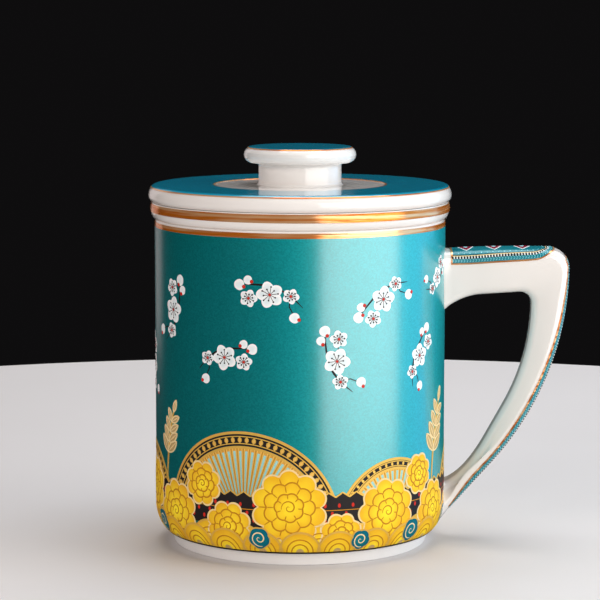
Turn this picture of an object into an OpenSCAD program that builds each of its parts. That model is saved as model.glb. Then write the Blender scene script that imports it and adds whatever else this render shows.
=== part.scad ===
// Lidded tea mug with a lift-out infuser, in bone china, millimetres.
// z = 0 is the table, the mug's axis is x = y = 0 and the handle points along +X.
// Three loose pieces stack up: the mug, the infuser that hangs in it and the lid.

/* [Mug] */
// Outer radius of the clay wall
mug_r = 41.8; // [38:0.1:46]
// Thickness of the wall
mug_wall = 3.2; // [2.6:0.1:4]
// Height of the rim above the table
rim_z = 94.2; // [90:0.1:105]
// Rounding of the rim's two edges
lip_r = 0.6; // [0.3:0.1:1]
// Thickness of the floor
floor_t = 3.6; // [2.6:0.1:6]
// Rounding between floor and wall, inside
well_r = 6; // [2:0.5:10]
// Height of the rounded heel above the foot
heel_h = 9; // [6:0.5:12]
// Depth of the heel, from the wall in to the foot
heel_in = 4.1; // [2.5:0.1:6]
// Angle at which the heel leaves the foot
heel_start = 10; // [5:1:25]

/* [Foot] */
// Height of the bare foot ring
foot_h = 3.7; // [2.5:0.1:6]
// How far the foot ring draws in towards the table
foot_taper = 0.9; // [0:0.1:2]
// Width of the foot ring
foot_w = 3.6; // [2.5:0.1:6]
// Rounding of the foot ring's lower edges
foot_round = 0.5; // [0.2:0.1:0.8]

/* [Handle rails] */
// Reach of the handle from the mug's axis
handle_reach = 77.6; // [72:0.1:84]
// Height of the arm's crest at the mug
arm_z = 84.6; // [80:0.1:88]
// Angle at which the crest leaves the mug
arm_rise = 3.8; // [0:0.1:8]
// Turn of the crest along the arm
arm_crest_turn = 5.3; // [0:0.1:8]
// Thickness of the arm at the corner
arm_t = 12.4; // [10:0.1:14]
// Slope of the arm's underside
arm_under_slope = 3.6; // [0:0.1:6]
// Radius of the outer corner
corner_out_r = 5.3; // [4:0.1:8]
// Radius of the inner corner
corner_in_r = 3.4; // [2.5:0.1:5]
// Thickness of the leg below the corner
leg_t = 10.4; // [8.5:0.1:12]
// Bow radius of the leg's outer side
leg_bow_out = 84.6; // [76:0.1:96]
// Bow radius of the leg's inner side
leg_bow_in = 61; // [55:0.1:72]
// Height at which the leg's outer side runs into the wall
leg_out_z = 6.4; // [3:0.1:10]
// Height at which the leg's inner side would run into the wall without its fillet
leg_in_z = 5.5; // [4:0.1:9]

/* [Handle section] */
// Width of the handle's outer face
handle_w = 13; // [11:0.1:16]
// Width of the handle's inner face
handle_w_in = 9.6; // [8:0.1:11]
// Rounding of the outer face's edges
edge_out_r = 2.6; // [1.8:0.1:3]
// Rounding of the inner face's edges
edge_in_r = 2.8; // [1.8:0.1:3]
// Height of the dome on the outer face
crown = 0.4; // [0:0.1:0.8]
// Depth of the fillet under the arm, where it meets the mug
arm_fillet = 3.5; // [1:0.1:6]
// Reach of the fillet under the arm
arm_fillet_reach = 10.5; // [6:0.5:14]
// Height of the fillet above the leg, where it meets the mug
leg_fillet = 8.8; // [4:0.1:11]
// Reach of the fillet above the leg
leg_fillet_reach = 12.2; // [8:0.1:15]
// Extra width of the handle where it meets the mug
root_spread = 1.6; // [0:0.1:3]

/* [Infuser] */
// Clearance between the infuser and the mug's wall
infuser_gap = 1; // [0.5:0.1:3]
// Thickness of the infuser's wall
infuser_wall_t = 2.6; // [2:0.1:3]
// Height of the infuser's underside above the table
infuser_z = 26; // [20:0.5:45]
// Thickness of the strainer floor
strainer_t = 2.8; // [2.2:0.1:4]
// Rounding under the strainer floor's edge
strainer_round = 2.2; // [1:0.1:2.2]
// Diameter of the strainer holes
hole_d = 2.2; // [1.2:0.1:2.8]
// Distance between the rings of holes in the floor
hole_ring_step = 5.8; // [4.5:0.1:6]
// Rim of the floor left without holes
strainer_rim = 3; // [2:0.5:12]
// Holes in one row round the wall
row_holes = 24; // [12:1:32]
// Rows of holes round the wall
wall_rows = 4; // [1:1:5]
// Distance between the rows of holes round the wall
row_step = 4.6; // [3.6:0.1:7]
// Height of the collar that rests on the mug's rim
collar_h = 4.9; // [4.4:0.1:7]
// Height of the collar's widest line above the rim
collar_bulge_z = 3; // [2:0.1:3.6]
// How far the collar bulges out
collar_bulge = 1.7; // [0.8:0.1:2.2]
// How far the collar's lower edge stands in from the wall of the mug
collar_in = 0.4; // [0:0.1:0.6]
// Rounding of the collar's mouth
mouth_r = 1.2; // [0.5:0.1:2]

/* [Lid] */
// Thickness of the lid at its edge
lid_t = 4.7; // [4:0.1:6]
// Thickness of the lid over the locating ring
lid_web = 3.7; // [3:0.1:3.8]
// How far the lid stands out past the collar
lid_overhang = 0.65; // [0.2:0.05:1.5]
// Width of the lid's rounded edge
lid_edge_w = 1.9; // [1:0.1:3]
// Height of the lid's widest line above the collar
lid_edge_z = 1.8; // [1.2:0.1:2.6]
// Clearance of the locating ring in the infuser's mouth
locate_gap = 0.5; // [0.3:0.1:1]
// Depth of the locating ring
locate_h = 6; // [4:0.5:9]
// Thickness of the locating ring
locate_t = 2.8; // [2:0.1:4]

/* [Knob] */
// Radius of the knob's stem
stem_r = 12; // [10:0.1:13]
// Height of the stem between lid and cap
stem_h = 6.4; // [4:0.1:10]
// Rounding where the stem meets lid and cap
stem_fillet = 1; // [0.5:0.1:1.5]
// Thickness of the hollow stem's wall
stem_wall = 3.2; // [2.5:0.1:5]
// Radius of the knob's cap
cap_r = 16.25; // [15:0.05:19]
// Thickness of the cap
cap_t = 4.5; // [3.6:0.1:6]
// Width of the cap's rounded edge
cap_edge_w = 2.2; // [1.2:0.1:2.4]
// Depth of the hollow in the underside of the cap
cap_hollow = 1.2; // [0.5:0.1:2]

/* [Fired-on layers] */
// Thickness of the mug's colour ground and gold band
ground_t = 0.2; // [0.1:0.05:0.4]
// Thickness of the other colour layers and gold lines
layer_t = 0.15; // [0.1:0.05:0.3]
// Height of the mug's gold band
mug_gold_h = 1.45; // [0.8:0.05:2.5]
// White lip left above the mug's gold band
mug_lip_bare = 0.6; // [0.3:0.1:2]
// Height of the dark line round the heel
heel_line_h = 0.5; // [0.3:0.1:1]
// Bare clay left round the handle's two joints
joint_bare = 0.4; // [0.2:0.1:1]
// Height of the collar's gold band
collar_gold_h = 2.3; // [1:0.1:2.6]
// White edge left above the collar's gold band
collar_bare = 0.3; // [0.2:0.1:1]
// Angle up the lid's edge where its gold line starts
lid_gold_angle = 52; // [35:1:60]
// Turn of the lid's edge that the gold line covers
lid_gold_turn = 9; // [5:1:15]
// Outer radius of the white ring in the middle of the lid
lid_white_r = 24.6; // [20:0.1:30]
// Width of the gold lines on lid and knob
gold_line_w = 0.5; // [0.3:0.1:1]
// Angle up the cap's edge where its gold line starts
cap_gold_angle = 60; // [45:1:70]
// Turn of the cap's edge that the gold line covers
cap_gold_turn = 9; // [5:1:15]
// Width of the gold frame round the handle's bands
frame_w = 0.8; // [0.4:0.1:1.2]
// Half width of the arm's band, measured over the section
arm_band_w = 7; // [4:0.1:7]
// Half width of the leg's band, measured over the section
leg_band_w = 6.2; // [4:0.1:7]
// Clear distance between the mug and the arm's band
arm_band_start = 2.6; // [1.5:0.1:6]
// Clear distance between the mug and the leg's band
leg_band_end = 1.8; // [1.5:0.1:6]

/* [Hidden] */
$fn = 96;

porcelain = "Ivory";
bare_clay = "White";
teal = "Teal";
gold = "Goldenrod";
dark = "Black";

// Running space between a layer that wraps the handle and the glaze under it
wrap_gap = 0.08;
// Steps in a quarter of a rounded edge, and along the heel, the collar's side and a small rounding
ARC_STEPS = 8;
HEEL_STEPS = 10;
COLLAR_STEPS = 12;
SMALL_STEPS = 4;
// Length by which a drill runs past each face of what it goes through
DRILL_OVER = 1;
// Facets round a drain hole
HOLE_SIDES = 16;

bore_r = mug_r - mug_wall;
foot_top_r = mug_r - heel_in;
well_z = foot_h + floor_t;
collar_z = rim_z + collar_h;
collar_r = mug_r - collar_in + collar_bulge;
lid_r = collar_r + lid_overhang;
lid_z = collar_z + lid_t;
cap_z = lid_z + stem_h;
basket_r = bore_r - infuser_gap;
infuser_r = basket_r - infuser_wall_t;
strainer_z = infuser_z + strainer_t;
hole_rings = floor((infuser_r - strainer_rim - hole_d / 2) / hole_ring_step);
locate_r = infuser_r - locate_gap;
stem_bore_r = stem_r - stem_wall;

// ---------- profiles of the turned pieces, as [radius, height] ----------

// Points on a quarter-like arc of an ellipse, pushed out by grow along its normal
function oval(centre, a, b, from, to, grow = 0, steps = ARC_STEPS) =
    [for (i = [0:steps])
        let (t = from + (to - from) * i / steps,
             n = [b * cos(t), a * sin(t)])
        centre + [a * cos(t), b * sin(t)] + grow * n / norm(n)];

// The heel's oval starts heel_start up from straight below its centre
heel_a = heel_in / (1 - sin(heel_start));
heel_b = heel_h / cos(heel_start);
heel_centre = [mug_r - heel_a, foot_h + heel_h];
function heel(grow = 0, from = heel_start - 90, to = 0) =
    oval(heel_centre, heel_a, heel_b, from, to, grow, HEEL_STEPS);
// Angle on the heel's oval at a height above the foot
function heel_angle(h) = -asin((heel_h - h) / heel_b);

// Lid edge: a short oval below its widest line and a taller one above
lid_edge_centre = [lid_r - lid_edge_w, collar_z + lid_edge_z];
lid_edge_up = lid_t - lid_edge_z;
function lid_edge(from, to, grow = 0) = oval(lid_edge_centre, lid_edge_w, lid_edge_up, from, to, grow);

// Cap edge: one oval as tall as the cap
cap_edge_centre = [cap_r - cap_edge_w, cap_z + cap_t / 2];
function cap_edge(from, to, grow = 0) = oval(cap_edge_centre, cap_edge_w, cap_t / 2, from, to, grow);

// Collar: bulges out from its lower edge and draws in a little at the top
collar_centre = [collar_r - collar_bulge, rim_z + collar_bulge_z];
function collar_angle(h) = asin((h - collar_bulge_z) / collar_bulge_z);
function collar_side(from, to, grow = 0) =
    oval(collar_centre, collar_bulge, collar_bulge_z, collar_angle(from), collar_angle(to), grow,
         COLLAR_STEPS);

// A layer fired on to a turned piece: the profile below it, then back along its own upper side
function reversed(list) = [for (i = [len(list) - 1:-1:0]) list[i]];
module fired_layer(under, over) {
    rotate_extrude() polygon(concat(under, reversed(over)));
}

// ---------- mug ----------

// Outer side of the clay from the foot up to the rim
function mug_side() = concat(heel(), [[mug_r, rim_z - lip_r]]);

module mug_body() {
    color(porcelain) rotate_extrude() polygon(concat(
        [[0, foot_h]],
        mug_side(),
        oval([mug_r - lip_r, rim_z - lip_r], lip_r, lip_r, 0, 90),
        oval([bore_r + lip_r, rim_z - lip_r], lip_r, lip_r, 90, 180),
        oval([bore_r - well_r, well_z + well_r], well_r, well_r, 0, -90),
        [[0, well_z]]));
}

module foot_ring() {
    out_r = foot_top_r - foot_taper;
    in_r = foot_top_r - foot_w;
    color(bare_clay) rotate_extrude() polygon(concat(
        [[foot_top_r, foot_h], [in_r, foot_h]],
        oval([in_r + foot_round, foot_round], foot_round, foot_round, 180, 270, 0, SMALL_STEPS),
        oval([out_r - foot_round, foot_round], foot_round, foot_round, -90, 0, 0, SMALL_STEPS)));
}

module mug_colour_ground() {
    top = rim_z - mug_lip_bare - mug_gold_h;
    start = heel_angle(heel_line_h);
    color(teal) difference() {
        fired_layer(concat(heel(0, start), [[mug_r, top]]),
                    concat(heel(ground_t, start), [[mug_r + ground_t, top]]));
        handle_loft(joint_bare, 0, ROOT_STEPS);
        handle_loft(joint_bare, STATIONS - ROOT_STEPS, STATIONS);
    }
}

module mug_gold_band() {
    top = rim_z - mug_lip_bare;
    color(gold) rotate_extrude()
        translate([mug_r, top - mug_gold_h]) square([ground_t, mug_gold_h]);
}

module heel_line() {
    from = heel_start - 90;
    to = heel_angle(heel_line_h);
    color(dark) fired_layer(heel(0, from, to), heel(ground_t, from, to));
}

// ---------- handle: a section lofted between an outer and an inner rail ----------

// A rail is a chain of arcs, each [length, turn], followed from a start point and heading.
// Positive turns are clockwise. Gives the point at distance s along the chain.
function arc_move(h, length, turn) =
    abs(turn) < 1e-6 ? length * [cos(h), sin(h)]
    : let (r = length / turn * 180 / PI)
      r * [sin(h) - sin(h - turn), cos(h - turn) - cos(h)];
function along(chain, s, p, h, i = 0) =
    let (length = chain[i][0], turn = chain[i][1])
    (s <= length || i == len(chain) - 1) ? p + arc_move(h, s, turn * s / length)
    : along(chain, s - length, p + arc_move(h, length, turn), h - turn, i + 1);
function chain_length(chain, i = 0) = i == len(chain) ? 0 : chain[i][0] + chain_length(chain, i + 1);
function arc_length(r, turn) = r * turn * PI / 180;
function ramp(from, to, steps) = [for (i = [1:steps]) from + (to - from) * i / steps];

// The rails start and end inside the wall, where the mug's own side trims the handle
ROOT_SINK = 1.5;
root_x = mug_r - ROOT_SINK;

// A leg bows in from a vertical start and runs straight on to the wall: its [bow, straight] arcs
function leg_chain(x, z, bow, root_z) =
    let (d = [root_x - x + bow, z - root_z],
         turn = atan2(d.y, d.x) - acos(bow / norm(d)))
    [[arc_length(bow, turn), turn], [sqrt(d * d - bow * bow), 0]];

// Outer rail: crest, corner, bowed leg
crest_len = handle_reach - corner_out_r - root_x;
crest_end = [root_x, arm_z] + arc_move(arm_rise, crest_len, arm_crest_turn);
out_turn = 90 + arm_rise - arm_crest_turn;
out_corner_len = arc_length(corner_out_r, out_turn);
out_corner_end = crest_end + arc_move(arm_rise - arm_crest_turn, out_corner_len, out_turn);
out_leg = leg_chain(out_corner_end.x, out_corner_end.y, leg_bow_out, leg_out_z);
outer_chain = concat([[crest_len, arm_crest_turn], [out_corner_len, out_turn]], out_leg);

// Inner rail: underside of the arm, corner, bowed leg
in_x = out_corner_end.x - leg_t;
in_turn = 90 + arm_under_slope;
in_corner_len = arc_length(corner_in_r, in_turn);
in_corner = arc_move(arm_under_slope, in_corner_len, in_turn);
under_end = [in_x - in_corner.x, crest_end.y - arm_t];
under_len = (under_end.x - root_x) / cos(arm_under_slope);
under_start = under_end - under_len * [cos(arm_under_slope), sin(arm_under_slope)];
in_corner_end = under_end + in_corner;
in_leg = leg_chain(in_corner_end.x, in_corner_end.y, leg_bow_in, leg_in_z);
inner_chain = concat([[under_len, 0], [in_corner_len, in_turn]], in_leg);

// Stations are spread so that each section stands across the handle
ARM_STEPS = 12;
FAN_STEPS = [4, 6, 4];
LEG_STEPS = 24;
ROOT_STEPS = 4;
STATIONS = ARM_STEPS + FAN_STEPS[0] + FAN_STEPS[1] + FAN_STEPS[2] + LEG_STEPS;
fan_start = crest_len - (crest_end.x - under_end.x);
corner_end_s = crest_len + out_corner_len;
fan_end = corner_end_s + out_corner_end.y - in_corner_end.y;
outer_s = concat([0], ramp(0, fan_start, ARM_STEPS), ramp(fan_start, crest_len, FAN_STEPS[0]),
                 ramp(crest_len, corner_end_s, FAN_STEPS[1]), ramp(corner_end_s, fan_end, FAN_STEPS[2]),
                 ramp(fan_end, chain_length(outer_chain), LEG_STEPS));
in_corner_s = under_len + in_corner_len;
inner_s = concat([0], ramp(0, under_len, ARM_STEPS),
                 ramp(under_len, in_corner_s, FAN_STEPS[0] + FAN_STEPS[1] + FAN_STEPS[2]),
                 ramp(in_corner_s, chain_length(inner_chain), LEG_STEPS));

// A fillet grows with the square of the distance still to go to the wall
function near_wall(x, reach) = pow(max(0, mug_r + reach - x) / reach, 2);
outer_rail = [for (s = outer_s) along(outer_chain, s, [root_x, arm_z], arm_rise)];
inner_rail = [for (i = [0:STATIONS])
    let (p = along(inner_chain, inner_s[i], under_start, arm_under_slope))
    i <= ARM_STEPS ? p - [0, arm_fillet * near_wall(p.x, arm_fillet_reach)]
    : p + [0, leg_fillet * near_wall(p.x, leg_fillet_reach)]];

// Half of the section at a station, from the middle of the outer face round to the middle of the
// inner one, as [depth from the inner rail, half width], pushed out by grow
EDGE_STEPS = 6;
// Share of the crown that is left halfway to the edge
CROWN_SHARE = 0.7;
function half_section(i, grow) =
    let (depth = norm(outer_rail[i] - inner_rail[i]),
         spread = root_spread / 2 * near_wall(outer_rail[i].x, arm_fillet_reach),
         w = handle_w / 2 + spread,
         v = handle_w_in / 2 + spread,
         slope = atan((w - v) / depth))
    concat(
        [[depth + crown + grow, 0], [depth + crown * CROWN_SHARE + grow, (w - edge_out_r) / 2]],
        [for (j = [0:EDGE_STEPS]) let (t = 90 - (90 + slope) * j / EDGE_STEPS)
            [depth - edge_out_r, w - edge_out_r] + (edge_out_r + grow) * [sin(t), cos(t)]],
        [for (j = [0:EDGE_STEPS]) let (t = -slope - (90 - slope) * j / EDGE_STEPS)
            [edge_in_r, v - edge_in_r] + (edge_in_r + grow) * [sin(t), cos(t)]],
        [[-grow, (v - edge_in_r) / 2], [-grow, 0]]);

// Places a [depth, half width] point of station i in space, on the side given by side
function in_space(i, q, side) =
    let (u = (outer_rail[i] - inner_rail[i]) / norm(outer_rail[i] - inner_rail[i]),
         p = inner_rail[i] + q[0] * u)
    [p.x, side * q[1], p.y];

function full_section(i, grow) =
    let (half = half_section(i, grow), last = len(half) - 1)
    concat([for (j = [0:last]) in_space(i, half[j], -1)],
           [for (j = [last - 1:-1:1]) in_space(i, half[j], 1)]);

// Solid through rings of equal length, open at both ends of the row and capped there
module loft(rings) {
    rows = len(rings);
    cols = len(rings[0]);
    polyhedron(
        points = [for (ring = rings) each ring],
        faces = concat(
            [[for (j = [0:cols - 1]) j]],
            [[for (j = [cols - 1:-1:0]) (rows - 1) * cols + j]],
            [for (i = [0:rows - 2], j = [0:cols - 1])
                let (a = i * cols + j, b = i * cols + (j + 1) % cols)
                each [[a, a + cols, b], [b, a + cols, b + cols]]]));
}

// Thin solid through rings that run out along one side and back along the other: each end is
// closed by a strip from side to side
module skin(rings) {
    rows = len(rings);
    cols = len(rings[0]);
    end = (rows - 1) * cols;
    polyhedron(
        points = [for (ring = rings) each ring],
        faces = concat(
            [for (j = [0:cols / 2 - 2]) let (c = cols - 2 - j) each [[j, j + 1, c + 1], [j + 1, c, c + 1]]],
            [for (j = [0:cols / 2 - 2])
                let (a = end + j, c = end + cols - 2 - j) each [[c + 1, a + 1, a], [c + 1, c, a + 1]]],
            [for (i = [0:rows - 2], j = [0:cols - 1])
                let (a = i * cols + j, b = i * cols + (j + 1) % cols)
                each [[a, a + cols, b], [b, a + cols, b + cols]]]));
}

// Solid through rings that close on themselves, like a hoop
module hoop(rings) {
    rows = len(rings);
    cols = len(rings[0]);
    polyhedron(
        points = [for (ring = rings) each ring],
        faces = [for (i = [0:rows - 1], j = [0:cols - 1])
            let (a = i * cols + j, b = i * cols + (j + 1) % cols,
                 c = (i + 1) % rows * cols + j, d = (i + 1) % rows * cols + (j + 1) % cols)
            each [[a, c, b], [b, c, d]]]);
}

module handle_loft(grow, from = 0, to = STATIONS) {
    loft([for (i = [from:to]) full_section(i, grow)]);
}

module handle() {
    color(porcelain) difference() {
        handle_loft(0);
        rotate_extrude() polygon(concat([[0, foot_h]], mug_side(), [[0, rim_z - lip_r]]));
    }
}

// ---------- bands on the handle's outer face ----------

// The bands may use the section's points up to the one past its outer edge's rounding
BAND_POINTS = EDGE_STEPS + 2;
// Length of the half section up to its j-th point
function run_to(half, j) = j == 0 ? 0 : run_to(half, j - 1) + norm(half[j] - half[j - 1]);
// Point at distance t round the section from the middle of the outer face, raised by grow
function round_section(i, t, grow) =
    let (flat = half_section(i, 0), raised = half_section(i, grow),
         run = [for (j = [0:BAND_POINTS + 1]) run_to(flat, j)],
         j = max([for (k = [0:BAND_POINTS]) abs(t) >= run[k] ? k : 0]),
         f = (abs(t) - run[j]) / (run[j + 1] - run[j]))
    in_space(i, raised[j] + f * (raised[j + 1] - raised[j]), t < 0 ? -1 : 1);
// The same between two stations, at a station number q that need not be whole
function whole(q) = min(floor(q), STATIONS - 1);
function on_handle(q, t, grow) =
    let (i = whole(q), f = q - i)
    (1 - f) * round_section(i, t, grow) + f * round_section(i + 1, t, grow);
// Distance round the section to its k-th point, at station number q
function edge_run(q, k) =
    let (i = whole(q), f = q - i)
    (1 - f) * run_to(half_section(i, 0), k) + f * run_to(half_section(i + 1, 0), k);

// Station number at which the outer rail has run s, and the other way round
function station(s) =
    let (i = max([for (k = [0:STATIONS - 1]) outer_s[k] <= s ? k : 0]))
    i + (s - outer_s[i]) / (outer_s[i + 1] - outer_s[i]);
function rail_run(q) = let (i = whole(q)) outer_s[i] + (q - i) * (outer_s[i + 1] - outer_s[i]);

// Rail distances of the two bands: along the arm, and from the corner down the leg
arm_s = [ROOT_SINK + arm_band_start, crest_len - frame_w];
leg_s = [crest_len + out_corner_len / 2,
         chain_length(outer_chain) - (ROOT_SINK + leg_band_end) / sin(out_leg[0][1])];

// The arm's band ends in a rounded tongue: the share of its width left at rail distance s
TONGUE_LEN = 5.5;
TONGUE_END = 0.45;
TONGUE_STEPS = 12;
arm_share = function (s)
    let (f = min(1, max(0, (s - arm_s[1] + TONGUE_LEN) / TONGUE_LEN)))
    sqrt(1 - f * f * (1 - TONGUE_END * TONGUE_END));
leg_share = function (s) 1;

// Rows of a band: its start, each station unless an end is too near, and closer rows round the tongue
ROW_MARGIN = 0.3;
function band_rows(s_range, tongue) =
    let (from = station(s_range[0]), to = station(s_range[1] - tongue))
    concat([from], [for (q = [ceil(from + ROW_MARGIN):to - ROW_MARGIN]) q], [to],
           tongue == 0 ? []
           : [for (t = ramp(0, 90, TONGUE_STEPS)) station(s_range[1] - tongue * (1 - sin(t)))]);
// Columns lie on the section's own edges, numbered out from the middle, and the last is the border.
// Where the border comes in, the columns next to it move in with it.
MIN_STRIP = 0.1;
function last_edge(w) =
    max([for (k = [0:BAND_POINTS]) edge_run(ARM_STEPS, k) < w - MIN_STRIP ? k : 0]);
function column(q, k, wide, border) =
    sign(k) * (abs(k) == border ? wide
               : min(edge_run(q, abs(k)), wide - MIN_STRIP * (border - abs(k))));

// A band is a thin skin over the outer face, w wide to each side of the middle
module band(s_range, w, share, tongue) {
    border = last_edge(w) + 1;
    function spot(q, k, grow) = on_handle(q, column(q, k, w * share(rail_run(q)), border), grow);
    skin([for (q = band_rows(s_range, tongue))
        concat([for (k = [-border:border]) spot(q, k, wrap_gap)],
               [for (k = [border:-1:-border]) spot(q, k, wrap_gap + layer_t)])]);
}

// A frame runs round a band. Each stop on its way is [inner edge, outer edge], both given as
// [station number, distance from the middle], and its corners have three stops.
TURN_SHARE = 0.25;
module band_frame(s_range, w, share, tongue) {
    rows = band_rows(s_range, tongue);
    last = len(rows) - 1;
    border = last_edge(w) + 1;
    ends = [station(s_range[0] - frame_w), station(s_range[1] + frame_w)];
    function inner(q, side) = [q, side * w * share(rail_run(q))];
    function outer(q, side) = [q, side * (w * share(rail_run(q) - frame_w) + frame_w)];
    function turn(i, next, side) =
        [inner(rows[i] + TURN_SHARE * (rows[next] - rows[i]), side), outer(rows[i], side)];
    function along_side(side) = concat([turn(0, 1, side)],
        [for (i = [1:last - 1]) [inner(rows[i], side), outer(rows[i], side)]],
        [turn(last, last - 1, side)]);
    function across(i, k) =
        let (t = column(rows[i], k, w * share(rail_run(rows[i])), border))
        [[rows[i], t], [ends[sign(i)], t]];
    function round_end(i, side) =
        let (edge = inner(rows[i], side), next = across(i, side * (border - 1)))
        concat([[edge, [ends[sign(i)], edge[1] + side * frame_w]],
                [(edge + next[0]) / 2, [ends[sign(i)], edge[1]]]],
               [for (k = [border - 1:-1:1]) across(i, side * k)]);
    path = concat(along_side(-1), round_end(last, -1), [across(last, 0)], reversed(round_end(last, 1)),
                  reversed(along_side(1)), round_end(0, 1), [across(0, 0)], reversed(round_end(0, -1)));
    function spot(stop, part, grow) =
        let (at = stop[0] + part * (stop[1] - stop[0])) on_handle(at[0], at[1], grow);
    hoop([for (stop = path)
        concat([for (part = [0, 0.5, 1]) spot(stop, part, wrap_gap + layer_t)],
               [for (part = [1, 0.5, 0]) spot(stop, part, wrap_gap)])]);
}

module arm_band() {
    color(teal) band(arm_s, arm_band_w, arm_share, TONGUE_LEN);
}

module arm_gold_frame() {
    color(gold) band_frame(arm_s, arm_band_w, arm_share, TONGUE_LEN);
}

module leg_band() {
    color(teal) band(leg_s, leg_band_w, leg_share, 0);
}

module leg_gold_frame() {
    color(gold) band_frame(leg_s, leg_band_w, leg_share, 0);
}

// ---------- infuser ----------

module infuser_collar() {
    color(porcelain) rotate_extrude() polygon(concat(
        [[infuser_r, rim_z]],
        collar_side(0, collar_h),
        oval([infuser_r + mouth_r, collar_z - mouth_r], mouth_r, mouth_r, 90, 180)));
}

module collar_gold_band() {
    top = collar_h - collar_bare;
    color(gold) fired_layer(collar_side(top - collar_gold_h, top),
                            collar_side(top - collar_gold_h, top, layer_t));
}

// Radial holes in staggered rows above the strainer floor
module wall_holes() {
    for (row = [0:wall_rows - 1], k = [0:row_holes - 1])
        translate([0, 0, strainer_z + row_step * (row + 1)])
            rotate(360 / row_holes * (k + (row % 2) / 2))
                rotate([0, 90, 0])
                    translate([0, 0, infuser_r - DRILL_OVER])
                        cylinder(d = hole_d, h = infuser_wall_t + 2 * DRILL_OVER, $fn = HOLE_SIDES);
}

module infuser_wall() {
    color(porcelain) difference() {
        rotate_extrude()
            translate([infuser_r, strainer_z]) square([infuser_wall_t, rim_z - strainer_z]);
        wall_holes();
    }
}

// Rings of six, twelve, eighteen... holes round a middle one
module floor_holes() {
    for (ring = [0:hole_rings], k = [0:max(0, 6 * ring - 1)])
        rotate(ring == 0 ? 0 : 60 / ring * k)
            translate([hole_ring_step * ring, 0, infuser_z - DRILL_OVER])
                cylinder(d = hole_d, h = strainer_t + 2 * DRILL_OVER, $fn = HOLE_SIDES);
}

module strainer_floor() {
    color(porcelain) difference() {
        rotate_extrude() polygon(concat(
            [[0, infuser_z]],
            oval([basket_r - strainer_round, infuser_z + strainer_round],
                 strainer_round, strainer_round, -90, 0),
            [[basket_r, strainer_z], [0, strainer_z]]));
        floor_holes();
    }
}

// ---------- lid ----------

module lid_plate() {
    under_z = lid_z - lid_web;
    step = under_z - collar_z;
    ring_in_r = locate_r - locate_t;
    color(porcelain) rotate_extrude() polygon(concat(
        [[stem_bore_r, under_z], [ring_in_r - step, under_z], [ring_in_r, collar_z]],
        oval(lid_edge_centre, lid_edge_w, lid_edge_z, -90, 0),
        lid_edge(0, 90),
        [[stem_bore_r, lid_z]]));
}

module lid_locating_ring() {
    foot = locate_t / 2;
    color(porcelain) rotate_extrude() polygon(concat(
        [[locate_r, collar_z], [locate_r - locate_t, collar_z]],
        oval([locate_r - foot, collar_z - locate_h + foot], foot, foot, 180, 360)));
}

module knob_stem() {
    color(porcelain) rotate_extrude() polygon(concat(
        [[stem_bore_r, cap_z], [stem_bore_r, lid_z]],
        oval([stem_r + stem_fillet, lid_z + stem_fillet], stem_fillet, stem_fillet, 270, 180),
        oval([stem_r + stem_fillet, cap_z - stem_fillet], stem_fillet, stem_fillet, 180, 90)));
}

module knob_cap() {
    color(porcelain) rotate_extrude() polygon(concat(
        [[0, cap_z + cap_hollow], [stem_bore_r, cap_z + cap_hollow], [stem_bore_r, cap_z]],
        cap_edge(-90, 90),
        [[0, cap_z + cap_t]]));
}

module lid_colour_ground() {
    start = lid_gold_angle + lid_gold_turn;
    inner_r = lid_white_r + gold_line_w;
    color(teal) fired_layer(concat(lid_edge(start, 90), [[inner_r, lid_z]]),
                            concat(lid_edge(start, 90, layer_t), [[inner_r, lid_z + layer_t]]));
}

module lid_edge_gold_line() {
    end = lid_gold_angle + lid_gold_turn;
    color(gold) fired_layer(lid_edge(lid_gold_angle, end), lid_edge(lid_gold_angle, end, layer_t));
}

module lid_inner_gold_line() {
    color(gold) rotate_extrude() translate([lid_white_r, lid_z]) square([gold_line_w, layer_t]);
}

module knob_colour_disc() {
    start = cap_gold_angle + cap_gold_turn;
    top = cap_z + cap_t;
    color(teal) fired_layer(concat(cap_edge(start, 90), [[0, top]]),
                            concat(cap_edge(start, 90, layer_t), [[0, top + layer_t]]));
}

module knob_gold_line() {
    end = cap_gold_angle + cap_gold_turn;
    color(gold) fired_layer(cap_edge(cap_gold_angle, end), cap_edge(cap_gold_angle, end, layer_t));
}

mug_body();
foot_ring();
handle();
mug_colour_ground();
mug_gold_band();
heel_line();
arm_band();
arm_gold_frame();
leg_band();
leg_gold_frame();
infuser_collar();
infuser_wall();
strainer_floor();
collar_gold_band();
lid_plate();
lid_locating_ring();
knob_stem();
knob_cap();
lid_colour_ground();
lid_edge_gold_line();
lid_inner_gold_line();
knob_colour_disc();
knob_gold_line();
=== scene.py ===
"""A lidded porcelain tea mug with a lift-out infuser, dressed for the studio.

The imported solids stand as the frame. The turned porcelain keeps its solids and gets its finishes
here; the handle, its two printed bands and the print on the mug's side are built finer.
"""

import logging
import math
from collections.abc import Callable, Sequence
from dataclasses import dataclass, field
from enum import Enum

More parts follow.
